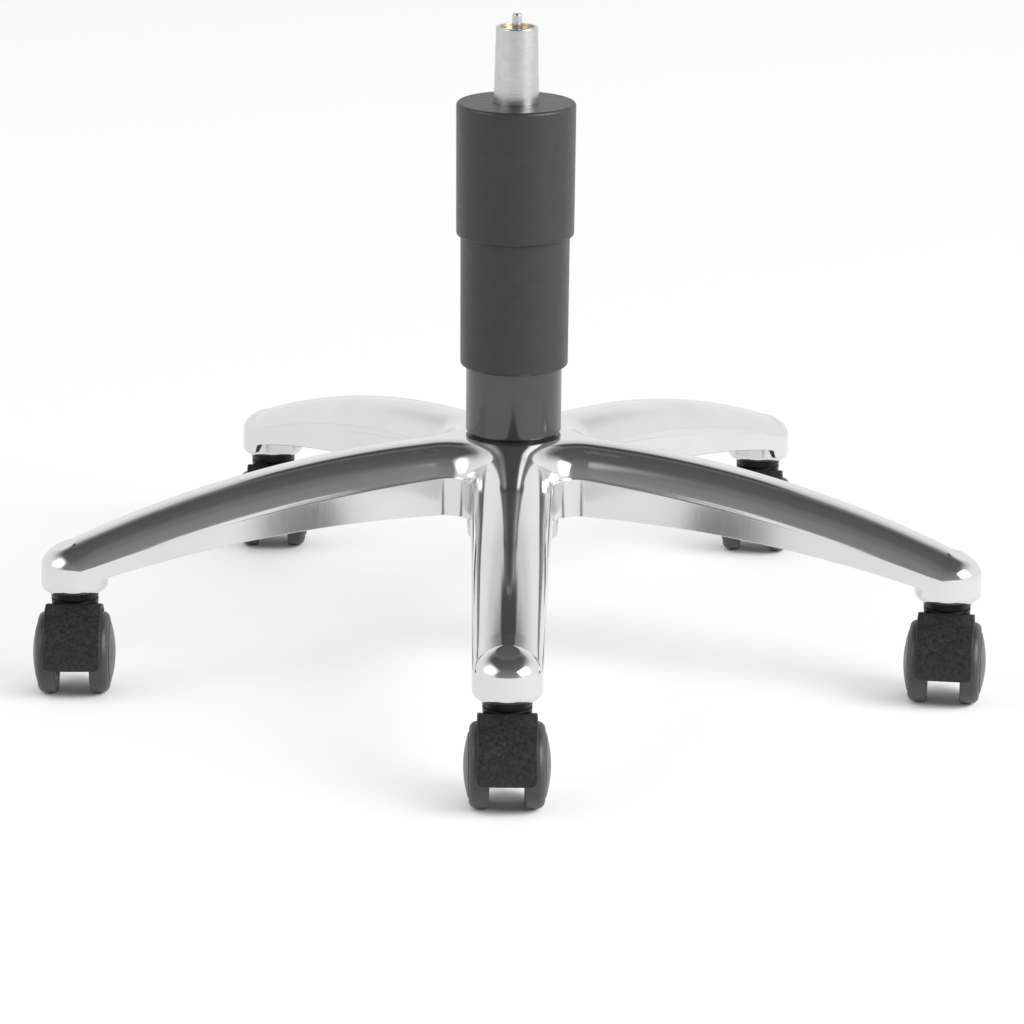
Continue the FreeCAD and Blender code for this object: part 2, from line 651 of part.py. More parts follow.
def make_middle_sleeve():
    foot = MIDDLE_SLEEVE_FOOT
    top = MIDDLE_SLEEVE_TOP
    lip = drafted(LOWER_SLEEVE_RADIUS, LOWER_SLEEVE_LENGTH) + SLEEVE_CLEARANCE
    guide = UPPER_SLEEVE_BORE - SLEEVE_CLEARANCE
    wall_top = drafted(MIDDLE_SLEEVE_RADIUS, MIDDLE_SLEEVE_LENGTH - SLEEVE_GUIDE_HEIGHT)
    nodes["middle_sleeve"] = turned(
        [
            (lip, foot),
            (MIDDLE_SLEEVE_RADIUS, foot, SLEEVE_LIP_ROUND),
            (wall_top, top - SLEEVE_GUIDE_HEIGHT),
            (guide, top - SLEEVE_GUIDE_HEIGHT),
            (guide, top),
            (MIDDLE_SLEEVE_BORE, top),
            (MIDDLE_SLEEVE_BORE, foot + SLEEVE_LIP_HEIGHT),
            (lip, foot + SLEEVE_LIP_HEIGHT),
        ]
    )


def make_upper_sleeve():
    """Outermost cover, closed by a plate that grips the pressure tube under the seat."""
    foot = UPPER_SLEEVE_FOOT
    top = SEAT_FACE
    lip = drafted(MIDDLE_SLEEVE_RADIUS, MIDDLE_SLEEVE_LENGTH) + SLEEVE_CLEARANCE / 2
    plate = top - UPPER_SLEEVE_PLATE
    grip = TUBE_RADIUS + UPPER_SLEEVE_GRIP_WALL
    nodes["upper_sleeve"] = turned(
        [
            (lip, foot),
            (UPPER_SLEEVE_RADIUS, foot, SLEEVE_LIP_ROUND),
            (drafted(UPPER_SLEEVE_RADIUS, UPPER_SLEEVE_LENGTH), top, SLEEVE_LIP_ROUND),
            (TUBE_RADIUS, top),
            (TUBE_RADIUS, top - UPPER_SLEEVE_GRIP),
            (grip, top - UPPER_SLEEVE_GRIP),
            (grip, plate),
            (UPPER_SLEEVE_BORE, plate),
            (UPPER_SLEEVE_BORE, foot + SLEEVE_LIP_HEIGHT),
            (lip, foot + SLEEVE_LIP_HEIGHT),
        ]
    )


# Castors, each built with its stem on the Z axis, trailing along -Y


def castor_stem():
    """Stepped steel pin: the stem fits the arm, and the housing turns on the pintle below it."""
    shoulder = COLLAR_TOP - STEM_NECK
    groove_radius = STEM_RADIUS - GRIP_GROOVE_DEPTH
    groove_top = GRIP_RING_FOOT + GRIP_RING_THICKNESS
    top = BOSS_HEIGHT + STEM_LENGTH
    return turned(
        [
            (0, PINTLE_FOOT),
            (PINTLE_RADIUS, PINTLE_FOOT),
            (PINTLE_RADIUS, shoulder),
            (STEM_RADIUS, shoulder),
            (STEM_RADIUS, GRIP_RING_FOOT),
            (groove_radius, GRIP_RING_FOOT),
            (groove_radius, groove_top),
            (STEM_RADIUS, groove_top),
            (STEM_RADIUS, top),
            (0, top),
        ]
    )


def grip_ring():
    outer = STEM_RADIUS + GRIP_RING_PROUD
    inner = STEM_RADIUS - GRIP_GROOVE_DEPTH
    top = GRIP_RING_FOOT + GRIP_RING_THICKNESS
    return open_ring(outer, inner, GRIP_RING_FOOT, top, GRIP_RING_MOUTH)


def castor_collar():
    """Tapered black ring with one groove, between the housing and the arm tip."""
    groove_middle = (COLLAR_TOP + COLLAR_FOOT) / 2
    groove_foot = groove_middle - COLLAR_GROOVE_WIDTH / 2
    groove_top = groove_middle + COLLAR_GROOVE_WIDTH / 2
    middle_radius = (COLLAR_TOP_RADIUS + COLLAR_FOOT_RADIUS) / 2
    return turned(
        [
            (COLLAR_BORE_RADIUS, COLLAR_FOOT),
            (COLLAR_FOOT_RADIUS, COLLAR_FOOT),
            (middle_radius, groove_foot),
            (middle_radius - COLLAR_GROOVE, groove_foot),
            (middle_radius - COLLAR_GROOVE, groove_top),
            (middle_radius, groove_top),
            (COLLAR_TOP_RADIUS, COLLAR_TOP),
            (COLLAR_BORE_RADIUS, COLLAR_TOP),
        ]
    )


def axle_centre():
    return Vector(0, -CASTOR_TRAIL, WHEEL_RADIUS)


def along_axle(radius, half_length):
    start = axle_centre() - Vector(half_length, 0, 0)
    return Part.makeCylinder(radius, 2 * half_length, start, Vector(1, 0, 0))


def swept_about_axle(half_width, inner, outer, start_deg, end_deg):
    """Band about the axle from start to end, where 0 points along the trail and 90 points up."""
    centre = axle_centre()
    corners = ((-half_width, inner), (half_width, inner), (half_width, outer), (-half_width, outer))
    spots = [centre + Vector(x, -radius, 0) for x, radius in corners]
    face = Part.Face(Part.makePolygon(spots + spots[:1]))
    face.rotate(centre, Vector(-1, 0, 0), start_deg)
    return face.revolve(centre, Vector(-1, 0, 0), end_deg - start_deg)


def castor_hood():
    """Curved guard over both wheels, with rounded corners at its lower edge."""
    half_width = HOOD_WIDTH / 2
    band = swept_about_axle(half_width, HOOD_BORE_RADIUS, HOOD_RADIUS, HOOD_FRONT_DEG, HOOD_BACK_DEG)
    corners = []
    for edge in band.Edges:
        on_side = all(abs(abs(vertex.X) - half_width) < SAME_POINT for vertex in edge.Vertexes)
        short = abs(edge.Length - HOOD_THICKNESS) < SAME_POINT
        if on_side and short and edge.CenterOfMass.y < -CASTOR_TRAIL:
            corners.append(edge)
    return band.makeFillet(HOOD_CORNER, corners)


def castor_housing():
    """Hood, collar seat and the web between the wheels, moulded in one."""
    seat_radius = COLLAR_FOOT_RADIUS + COLLAR_POCKET_GAP + SEAT_RIM
    seat = Part.makeCylinder(seat_radius, COLLAR_HEIGHT, Vector(0, 0, COLLAR_FOOT - COLLAR_HEIGHT))
    web_radius = HOOD_RADIUS - HOOD_THICKNESS / 2
    web = swept_about_axle(WEB_HALF_WIDTH, 0, web_radius, WEB_FRONT_DEG, WEB_BACK_DEG)
    hub = along_axle(WEB_HUB_RADIUS, WEB_HALF_WIDTH)
    wheel_room = along_axle(HOOD_BORE_RADIUS, HOOD_WIDTH)
    top = castor_hood().fuse(seat.cut(wheel_room))
    pocket_radius = COLLAR_TOP_RADIUS + COLLAR_POCKET_GAP
    pocket = Part.makeCylinder(pocket_radius, COLLAR_HEIGHT, Vector(0, 0, COLLAR_FOOT))
    bore_foot = PINTLE_FOOT - STEM_END_GAP
    bore = Part.makeCylinder(
        PINTLE_RADIUS + RUNNING_CLEARANCE, COLLAR_TOP - bore_foot, Vector(0, 0, bore_foot)
    )
    axle_bore = along_axle(AXLE_RADIUS, HOOD_WIDTH)
    housing = top.multiFuse([web, hub])
    return housing.cut(pocket).cut(bore).cut(axle_bore).removeSplitter()


def castor_axle():
    return along_axle(AXLE_RADIUS, TYRE_OUTER_FACE - RIM_WALL + CAP_EDGE - AXLE_END_GAP)


def on_axle(shape, side):
    """Turn a wheel piece from the Z axis onto the axle, to the left (-1) or the right (+1)."""
    shape.rotate(ORIGIN, Vector(0, 1, 0), 90 * side)
    shape.translate(axle_centre())
    return shape


def wheel_rim():
    """Moulded wheel centre: hub, rim and the domed face that covers the axle's end."""
    bore = AXLE_RADIUS + RUNNING_CLEARANCE
    hub = bore + RIM_HUB_WALL
    face = TYRE_OUTER_FACE + CAP_EDGE
    inner = WHEEL_INNER_FACE + RIM_INSET
    floor = face - RIM_WALL
    rim_bore = RIM_RADIUS - RIM_WALL
    return turned(
        [
            (0, floor),
            (bore, floor),
            (bore, WHEEL_INNER_FACE),
            (hub, WHEEL_INNER_FACE),
            (hub, floor - RIM_WALL),
            (rim_bore, floor - RIM_WALL),
            (rim_bore, inner),
            (RIM_RADIUS, inner),
            (RIM_RADIUS, TYRE_OUTER_FACE),
            (CAP_RADIUS, TYRE_OUTER_FACE),
            (CAP_RADIUS, face, 0, dome_bulge()),
            (0, face + CAP_DOME),
        ]
    )


def dome_bulge():
    """Height of the dome's arc over its chord, so that it lies flat where it crosses the axle."""
    chord = math.hypot(CAP_RADIUS, CAP_DOME)
    dome_radius = (CAP_RADIUS ** 2 + CAP_DOME ** 2) / (2 * CAP_DOME)
    return dome_radius - math.sqrt(dome_radius ** 2 - (chord / 2) ** 2)


def wheel_tyre():
    return turned(
        [
            (RIM_RADIUS, WHEEL_INNER_FACE),
            (WHEEL_RADIUS, WHEEL_INNER_FACE, TYRE_INNER_ROUND),
            (WHEEL_RADIUS, TYRE_OUTER_FACE, TYRE_SHOULDER),
            (RIM_RADIUS, TYRE_OUTER_FACE),
        ]
    )


def make_castors():
    rings = []
    for i, arm_name in enumerate(ARM_NAMES):
        turn = math.radians(arm_angle(i))
        stem = Vector(math.cos(turn), math.sin(turn), 0) * STEM_CIRCLE_RADIUS

        def placed(shape):
            shape.rotate(ORIGIN, UP, CASTOR_HEADINGS_DEG[i])
            shape.translate(stem)
            return shape

        rings.append(placed(grip_ring()))
        nodes[f"{arm_name}_castor_stem"] = placed(castor_stem())
        nodes[f"{arm_name}_castor_collar"] = placed(castor_collar())
        nodes[f"{arm_name}_castor_housing"] = placed(castor_housing())
        nodes[f"{arm_name}_castor_axle"] = placed(castor_axle())
        for side_name, side in (("left", -1), ("right", 1)):
            wheel = f"{arm_name}_castor_{side_name}_wheel"
            nodes[wheel] = placed(on_axle(wheel_rim(), side))
            nodes[f"{wheel}_tyre"] = placed(on_axle(wheel_tyre(), side))
    nodes["stem_grip_rings"] = Part.makeCompound(rings)


make_star_base()
make_column_tube()
make_guide_bush()
make_thrust_bearing()
make_piston_rod()
make_pressure_tube()
make_release_valve()
make_lower_sleeve()
make_middle_sleeve()
make_upper_sleeve()
make_castors()

os.makedirs("parts", exist_ok=True)
for name, shape in nodes.items():
    shape.exportStep(f"parts/{name}.step")
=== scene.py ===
import json
import math

import bmesh
import bpy
from mathutils import Matrix, Vector


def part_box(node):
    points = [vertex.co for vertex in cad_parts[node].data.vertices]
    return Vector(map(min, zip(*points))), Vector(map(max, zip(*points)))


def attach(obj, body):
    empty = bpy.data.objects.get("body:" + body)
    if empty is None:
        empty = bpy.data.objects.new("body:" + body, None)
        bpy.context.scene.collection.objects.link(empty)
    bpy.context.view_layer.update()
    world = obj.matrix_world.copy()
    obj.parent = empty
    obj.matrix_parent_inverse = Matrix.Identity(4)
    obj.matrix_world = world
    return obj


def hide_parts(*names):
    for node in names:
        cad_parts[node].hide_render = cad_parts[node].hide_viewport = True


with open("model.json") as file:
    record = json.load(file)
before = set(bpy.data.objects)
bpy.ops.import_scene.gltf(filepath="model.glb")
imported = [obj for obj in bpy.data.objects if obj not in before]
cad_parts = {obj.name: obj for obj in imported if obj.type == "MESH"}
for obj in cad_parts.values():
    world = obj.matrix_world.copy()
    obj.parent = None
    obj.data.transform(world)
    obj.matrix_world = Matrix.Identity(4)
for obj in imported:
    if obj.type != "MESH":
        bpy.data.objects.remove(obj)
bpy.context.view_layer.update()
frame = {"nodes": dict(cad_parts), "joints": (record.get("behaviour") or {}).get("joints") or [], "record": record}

# Looks of the rolling pedestal. Sizes are in millimetres unless a name says otherwise.
MM = 0.001
ARMS = ("front", "right", "rear_right", "rear_left", "left")
SIDES = (("left", -1), ("right", 1))
ROUND_STEPS = 5
LATHE_SEGMENTS = 128
SHARP_DEG = 34.0
SAME_POINT = 1e-6

# Base casting: plan outline of an arm
ARM_TIP_RADIUS = 20.5
ARM_TAPER = math.radians(1.53)
ARM_CORNER_RADIUS = 15.0
ARM_HALF_ANGLE = math.pi / len(ARMS)
HUB_BORE_RADIUS = 25.0
NOSE_STEPS = 26
WALL_STEPS = 74
CORNER_STEPS = 26
STEP_STEPS = 10

# Base casting: section of an arm
SKIRT_DRAFT = math.tan(math.radians(1.5))
LEDGE = 0.9
LEDGE_END = 205.0
LEDGE_FADE = 85.0
NOSE_LENGTH = 20.0
NOSE_FULLNESS = 0.41
NOSE_TIGHTNESS = 0.30
CROWN_LAND = 1.0
EDGE_ROUND = 0.45
CASTING_WALL = 4.0
CROWN_STEPS = 22
LAND_STEPS = 6
SKIRT_STEPS = 8
LEAN_PASSES = 4
BOSS_DEPTH = 4.5
BOSS_ROUND = 4.0
BOSS_TOP = 14.4
BOSS_BORE = 5.5
SEAM_LAP = 0.3
SEAM_STEP = 0.03
HUB_DROP = 67.0
HUB_RADIUS = 33.0
HUB_FOOT_RADIUS = 28.5
HUB_FOOT_BORE = 23.4
RIB_COUNT = 3
RIB_THICKNESS = 3.5
POCKET_START = 44.0
POCKET_TIP_MARGIN = 24.0

# Side-view curves of an arm, as heights above the boss underside
CREST_LEVEL_RADIUS = 24.4
CREST_TIP_HEIGHT = 30.9
HUB_STATION = 48.0
MIDDLE_STATION = 165.0
CREASE_HUB_HEIGHT = 60.8
CREASE_MIDDLE_HEIGHT = 45.0
CREASE_END_HEIGHT = 20.1
CREASE_TIP_HEIGHT = 16.7
SKIRT_HUB_HEIGHT = 35.5
SKIRT_MIDDLE_HEIGHT = 29.7
SKIRT_END_HEIGHT = 10.4
END_MARGIN = 12.0
SKIRT_STEP_LENGTH = 3.5

# Telescopic cover and lift
SLEEVE_DRAFT = math.tan(math.radians(0.25))
SLEEVE_WALL = 1.9
LOWER_SLEEVE_RADIUS = 29.9
LOWER_SLEEVE_ROUND = 0.6
MIDDLE_SLEEVE_RADIUS = 33.65
UPPER_SLEEVE_RADIUS = 36.65
SLEEVE_LIP_ROUND = 2.0
SLEEVE_LIP_HEIGHT = 3.0
SLEEVE_GUIDE_HEIGHT = 4.0
SLEEVE_GAP = 0.3
PLATE_THICKNESS = 2.5
GRIP_DEPTH = 5.0
GRIP_WALL = 3.0
TAPER_LENGTH = 45.0
TAPER_SLOPE = 0.0251
TAPER_CHAMFER = 0.8
TUBE_WALL = 1.6
VALVE_RADIUS = 10.6
VALVE_STEP = 1.0
PIN_RADIUS = 3.0
PIN_TIP_ROUND = 1.2

# Castors
WHEEL_INNER_FACE = 10.15
TYRE_WIDTH = 11.7
RIM_RADIUS = 18.0
TYRE_SHOULDER = 4.5
TYRE_INNER_ROUND = 1.2
CAP_RADIUS = 18.75
CAP_EDGE = 0.5
CAP_ROUND = 0.35
CAP_RIM = 1.2
CAP_RISE = 0.35
CAP_DOME = 2.8
DOME_STEPS = 12
SEAM_WIDTH = 0.4
SEAM_DEPTH = 0.5
RIM_WALL = 2.2
RIM_HUB_RADIUS = 6.05
RIM_BORE = 3.05
HOOD_RADIUS = 29.7
HOOD_THICKNESS = 2.7
HOOD_HALF_WIDTH = 17.4
HOOD_FRONT = math.radians(-7.0)
HOOD_BACK = math.radians(150.0)
HOOD_CORNER = 4.0
HOOD_EDGE = 0.7
HOOD_ROWS = 72
HOOD_CORNER_ROWS = 6
HOOD_COLUMNS = 28
SEAT_RADIUS = 15.9
SEAT_DEPTH = 9.6
SEAT_DROP = 2.5
POCKET_RADIUS = 15.25
BROW_START = math.radians(62.0)
BROW_FRONT = 16.7
BROW_BACK = 15.3
BROW_TOP = 56.2
WEB_HALF_WIDTH = 9.4
WEB_FRONT = math.radians(50.0)
WEB_BACK = math.radians(165.0)
WEB_HUB_RADIUS = 10.0
HOUSING_VOXEL = 0.45
HOUSING_SMOOTHING = 6
COLLAR_FOOT_RADIUS = 14.1
COLLAR_TOP_RADIUS = 14.85
COLLAR_GROOVE = 0.9
COLLAR_GROOVE_WIDTH = 1.0
COLLAR_BORE = 6.0
COLLAR_ROUND = 0.3

# Noise values over which a finish runs from its low end to its high end
NOISE_SPAN = (0.3, 0.7)

# Finish of the casting: sizes of its marks along and across an arm, and ranges from low to high
ALUMINIUM_DARK = (0.69, 0.692, 0.695)
ALUMINIUM_LIGHT = (0.73, 0.732, 0.735)
ALUMINIUM_CLOUD = 40.0
BUFFING_MARK = (40.0, 0.16, 1.0)
BUFFING_DEPTH = 0.001
BUFFING_STRENGTH = 0.1
GRINDING_MARK = (0.16, 16.0, 1.0)
CASTING_WAVE = (60.0, 14.0, 1.0)
CASTING_WAVE_DEPTH = 0.05
CASTING_WAVE_STRENGTH = 0.25
CROWN_ROUGHNESS = (0.06, 0.15)
WALL_ROUGHNESS = (0.12, 0.2)
CROWN_METALLIC = 0.96
WALL_METALLIC = 0.86
WALL_LEAN = (0.05, 0.15)

# Finish of the castor hoods
HOOD_SPECULAR = 0.35
HOOD_ROUGHNESS = (0.42, 0.58)
HOOD_GLOSS_PATCH = 6.0
HOOD_TONES = (0.003, 0.024)
HOOD_SPECKLE = 2.2
HOOD_GRAIN = 0.9
HOOD_GRAIN_DEPTH = 0.16

# Plastics, rubbers and coated steel: (tone, roughness, grain size, grain depth, specular level)
PLASTICS = {
    "black_steel": (0.02, 0.4, 0.6, 0.01, 0.5),
    "acetal": (0.60, 0.45, 0.5, 0.01, 0.5),
    "seal_rubber": (0.02, 0.7, 0.3, 0.02, 0.5),
    "lower_sleeve_plastic": (0.018, 0.13, 0.5, 0.002, 1.0),
    "sleeve_plastic": (0.022, 0.42, 0.35, 0.012, 0.5),
    "collar_plastic": (0.004, 0.4, 0.4, 0.01, 0.3),
    "wheel_plastic": (0.045, 0.38, 0.4, 0.008, 0.5),
    "tyre_rubber": (0.040, 0.45, 0.4, 0.015, 0.5),
}
PLASTIC_CLOUD = 8.0
PLASTIC_VARIATION = 0.12
GLOSS_PATCH = 5.0
GLOSS_VARIATION = 0.04

# Turned and ground metals: (colour, roughness, pitch of the rings)
METALS = {
    "ground_steel": ((0.60, 0.60, 0.61), 0.28, 0.25),
    "bearing_steel": ((0.62, 0.62, 0.63), 0.2, 0.2),
    "castor_steel": ((0.55, 0.55, 0.56), 0.32, 0.3),
    "valve_brass": ((0.70, 0.52, 0.26), 0.3, 0.3),
    "piston_aluminium": ((0.72, 0.72, 0.73), 0.3, 0.3),
}
METAL_CLOUD = 6.0
METAL_DULLING = 0.9
RING_LENGTH = 30.0
RING_DEPTH = 0.01
RING_STRENGTH = 0.4
RING_GLOSS = (-0.06, 0.08)

# Camera of the photograph, in metres and radians
LENS = 152.85
CAMERA_PLACE = (-0.0004, -2.6345, 0.8712)
CAMERA_PITCH = 0.28920
CAMERA_ROLL = 0.0090
CAMERA_YAW = 0.0073
SENSOR = 36.0

# Studio: a lamp is (degrees right of the camera, degrees up, metres away, metres across, radiance, edge)
FLOOR_SIZE = 24.0
FLOOR_COLOUR = (0.95, 0.95, 0.95)
FLOOR_GLOW = 0.78
# Ambient occlusion fades the floor's glow within this reach and over this range, which paints shade on the floor
# under and between the parts
FLOOR_PAINTED_SHADE_REACH = 0.15
FLOOR_PAINTED_SHADE_RANGE = (0.3, 0.9)
KEY_LIGHT = (62.0, 33.0, 6.0, 4.4, 12.0, 0.25)
FILL_LIGHT = (-65.0, 38.0, 6.0, 6.0, 3.5, 0.5)

# The room on the camera's side: tone at each angle over the camera, and how far it spreads sideways
ROOM_TONES = (
    (0, 0.28), (15, 0.24), (30, 0.22), (50, 0.16), (75, 0.08),
    (108, 0.06), (118, 0.18), (136, 0.75), (155, 1.0),
)
ROOM_SIDE = (0.45, 0.85)

# Dark place overhead, where the seat would be: tone, and the soft edges of its width and of its angles
OVERHEAD_TONE = 0.03
OVERHEAD_SIDE = (0.16, 0.22)
OVERHEAD_START = (math.radians(114), math.radians(121))
OVERHEAD_END = (math.radians(128), math.radians(136))

nodes = frame["nodes"]
record = frame["record"]
joints = {joint["name"]: joint for joint in frame["joints"]}
slot_of = {entry["node"]: entry["material_slot"] for entry in record["subparts"]}
body_of = {node: body for body, members in record["behaviour"]["bodies"].items() for node in members}


def box(node):
    """Lowest and highest corner of a CAD node, in millimetres."""
    low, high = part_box(node)
    return low / MM, high / MM


# Places that the frame gives
star_low, star_high = box("star_base")
BOSS_HEIGHT = star_low.z
HUB_TOP = star_high.z
CREST_HEIGHT = HUB_TOP - BOSS_HEIGHT
STEM_CIRCLE_RADIUS = Vector(joints["front_castor_swivel"]["pos_m"]).to_2d().length / MM
CASTING_FLOOR = BOSS_HEIGHT + BOSS_DEPTH
AXLE_HEIGHT = joints["front_castor_left_roll"]["pos_m"][2] / MM
WHEEL_RADIUS = AXLE_HEIGHT
TYRE_OUTER_FACE = WHEEL_INNER_FACE + TYRE_WIDTH


# Meshes


def make_object(name, mesh, slot):
    made = bpy.data.objects.new(name, mesh)
    bpy.context.scene.collection.objects.link(made)
    mesh.materials.clear()
    mesh.materials.append(material(slot))
    shading = made.modifiers.new("even_shading", "WEIGHTED_NORMAL")
    shading.keep_sharp = True
    return made


def make_mesh(name, points, faces, uvs=None):
    """Mesh from points in millimetres, welded, turned outwards and smooth with sharp edges kept."""
    mesh = bpy.data.meshes.new(name)
    mesh.from_pydata([Vector(point) * MM for point in points], [], faces)
    if uvs:
        layer = mesh.uv_layers.new(name="along")
        for loop in mesh.loops:
            layer.data[loop.index].uv = uvs[loop.vertex_index]
    shape = bmesh.new()
    shape.from_mesh(mesh)
    bmesh.ops.remove_doubles(shape, verts=shape.verts, dist=SAME_POINT)
    bmesh.ops.dissolve_degenerate(shape, edges=shape.edges, dist=SAME_POINT)
    bmesh.ops.recalc_face_normals(shape, faces=shape.faces)
    shape.to_mesh(mesh)
    shape.free()
    mesh.shade_smooth()
    mesh.set_sharp_from_angle(angle=math.radians(SHARP_DEG))
    return mesh


def rounded(corners):
    """Closed outline through corners (x, y, round), with each round as an arc."""
    outline = []
    count = len(corners)
    for i, corner in enumerate(corners):
        point = Vector(corner[:2])
        rounding = corner[2] if len(corner) > 2 else 0
        if rounding == 0:
            outline.append(point)
            continue
        back = (Vector(corners[i - 1][:2]) - point).normalized()
        forth = (Vector(corners[(i + 1) % count][:2]) - point).normalized()
        half = back.angle(forth) / 2
        centre = point + (back + forth).normalized() * (rounding / math.sin(half))
        start = point + back * (rounding / math.tan(half)) - centre
        finish = point + forth * (rounding / math.tan(half)) - centre
        for step in range(ROUND_STEPS + 1):
            spoke = start.slerp(finish, step / ROUND_STEPS, start)
            outline.append(centre + spoke.normalized() * rounding)
    return outline


def turned(outline, segments=LATHE_SEGMENTS):
    """Points and faces of a closed outline (radius, height) turned about Z."""
    points = []
    faces = []
    rings = []
    for radius, height in outline:
        start = len(points)
        if abs(radius) < SAME_POINT:
            points.append((0, 0, height))
            rings.append([start] * segments)
            continue
        for k in range(segments):
            turn = 2 * math.pi * k / segments
            points.append((radius * math.cos(turn), radius * math.sin(turn), height))
        rings.append(list(range(start, start + segments)))
    for ring, following in zip(rings, rings[1:] + rings[:1]):
        for k in range(segments):
            after = (k + 1) % segments
            corners = [ring[k], ring[after], following[after], following[k]]
            corners = list(dict.fromkeys(corners))
            if len(corners) > 2:
                faces.append(corners)
    return points, faces


def cylinder(radius, low, high):
    return turned([(0, low), (radius, low), (radius, high), (0, high)])


def prism(ends):
    """Points and faces of a closed shape between two like outlines."""
    count = len(ends[0])
    faces = [list(range(count)), list(range(count, 2 * count))]
    for k in range(count):
        after = (k + 1) % count
        faces.append([k, after, count + after, count + k])
    return ends[0] + ends[1], faces


def add_shape(points, faces, more):
    """Append another closed shape to a list of points and faces."""
    start = len(points)
    points.extend(more[0])
    faces.extend([[start + index for index in face] for face in more[1]])


def turned_piece(name, node, corners):
    """A turned piece that stands for a CAD node on the column's axis."""
    mesh = make_mesh(name, *turned(rounded(corners)))
    piece = make_object(name, mesh, slot_of[node])
    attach(piece, body_of[node])
    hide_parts(node)


# Base casting


def smooth_step(value):
    value = min(max(value, 0.0), 1.0)
    return value * value * (3 - 2 * value)


def crest(radius):
    """Top line of an arm: one arc that starts level at the hub and falls to the tip."""
    fall = CREST_HEIGHT - CREST_TIP_HEIGHT
    reach = STEM_CIRCLE_RADIUS - CREST_LEVEL_RADIUS
    arc_radius = (reach ** 2 + fall ** 2) / (2 * fall)
    run = max(radius - CREST_LEVEL_RADIUS, 0)
    return HUB_TOP - arc_radius + math.sqrt(arc_radius ** 2 - run ** 2)


def arc_height(radius, first, middle, last):
    """Height at a radius on the arc through three side-view points."""
    (x1, z1), (x2, z2), (x3, z3) = first, middle, last
    slope_a = (z2 - z1) / (x2 - x1)
    slope_b = (z3 - z2) / (x3 - x2)
    centre_x = (slope_a * slope_b * (z1 - z3) + slope_b * (x1 + x2) - slope_a * (x2 + x3)) / (
        2 * (slope_b - slope_a)
    )
    centre_z = (z1 + z2) / 2 - (centre_x - (x1 + x2) / 2) / slope_a
    size = math.hypot(x1 - centre_x, z1 - centre_z)
    return centre_z + math.sqrt(size ** 2 - (radius - centre_x) ** 2)


def arm_line(radius, hub_height, middle_height, end_height):
    """Level stretch over the hub, then one arc down the arm."""
    end = STEM_CIRCLE_RADIUS - END_MARGIN
    if radius < HUB_STATION:
        return BOSS_HEIGHT + hub_height
    spots = ((HUB_STATION, hub_height), (MIDDLE_STATION, middle_height), (end, end_height))
    return BOSS_HEIGHT + arc_height(min(radius, end), *spots)


def crease(radius):
    """Edge between the rounded crown and the skirt, which levels out round the tip."""
    end = STEM_CIRCLE_RADIUS - END_MARGIN
    height = arm_line(radius, CREASE_HUB_HEIGHT, CREASE_MIDDLE_HEIGHT, CREASE_END_HEIGHT)
    share = min(max((radius - end) / END_MARGIN, 0), 1)
    return height - share * (CREASE_END_HEIGHT - CREASE_TIP_HEIGHT)


def skirt(radius):
    """Lower edge of the skirt, which drops in a short step to the cup at the tip."""
    end = STEM_CIRCLE_RADIUS - END_MARGIN
    height = arm_line(radius, SKIRT_HUB_HEIGHT, SKIRT_MIDDLE_HEIGHT, SKIRT_END_HEIGHT)
    share = smooth_step((radius - end) / SKIRT_STEP_LENGTH)
    return height + share * (CASTING_FLOOR - SEAM_LAP - height)


def arm_stations():
    """Places along half an arm's outline, from nose to hub corner: (foot, normal)."""
    slope = Vector((math.sin(ARM_TAPER), math.cos(ARM_TAPER)))
    bisector = Vector((math.cos(ARM_HALF_ANGLE), math.sin(ARM_HALF_ANGLE)))
    stem = Vector((STEM_CIRCLE_RADIUS, 0))
    reach = ARM_TIP_RADIUS + ARM_CORNER_RADIUS + STEM_CIRCLE_RADIUS * math.sin(ARM_TAPER)
    corner_centre = bisector * (reach / math.sin(ARM_HALF_ANGLE + ARM_TAPER))
    shoulder = stem + slope * ARM_TIP_RADIUS
    wall_end = corner_centre - slope * ARM_CORNER_RADIUS
    stations = []
    wall_turn = math.pi / 2 - ARM_TAPER
    for k in range(NOSE_STEPS + 1):
        turn = wall_turn * k / NOSE_STEPS
        normal = Vector((math.cos(turn), math.sin(turn)))
        stations.append((stem + normal * ARM_TIP_RADIUS, normal))
    step_shares = [k / STEP_STEPS for k in range(STEP_STEPS + 1)]
    step_end = STEM_CIRCLE_RADIUS - END_MARGIN
    marks = [step_end + SKIRT_STEP_LENGTH * (1 - share) for share in step_shares]
    marks += [step_end + (wall_end.x - step_end) * k / WALL_STEPS for k in range(1, WALL_STEPS + 1)]
    for mark in marks:
        share = (mark - shoulder.x) / (wall_end.x - shoulder.x)
        stations.append((shoulder.lerp(wall_end, share), slope))
    for k in range(1, CORNER_STEPS + 1):
        turn = wall_turn + (ARM_HALF_ANGLE - wall_turn) * k / CORNER_STEPS
        normal = Vector((math.cos(turn), math.sin(turn)))
        stations.append((corner_centre - normal * ARM_CORNER_RADIUS, normal))
    return stations


def reach_of(foot, normal):
    """How far a station's line runs inwards, to the arm's centre line or to the hub bore."""
    if normal.y < SAME_POINT:
        return ARM_TIP_RADIUS, False
    to_middle = foot.y / normal.y
    if foot.x > STEM_CIRCLE_RADIUS:
        to_middle = ARM_TIP_RADIUS
    end = foot - normal * to_middle
    if end.length >= HUB_BORE_RADIUS:
        return to_middle, False
    along = foot.dot(normal)
    return along - math.sqrt(HUB_BORE_RADIUS ** 2 - foot.length_squared + along ** 2), True


def round_under(foot, normal, inset, size, drop):
    """Centre height and end angle of a round that joins a wall at inset to the crest line."""
    lean = 0.0
    for _ in range(LEAN_PASSES):
        touch = inset + size * (1 - math.sin(lean))
        here = crest((foot - normal * touch).length)
        ahead = crest((foot - normal * (touch + 1)).length)
        lean = math.atan(max(ahead - here, 0))
    return here - drop - size * math.cos(lean), math.pi / 2 - lean


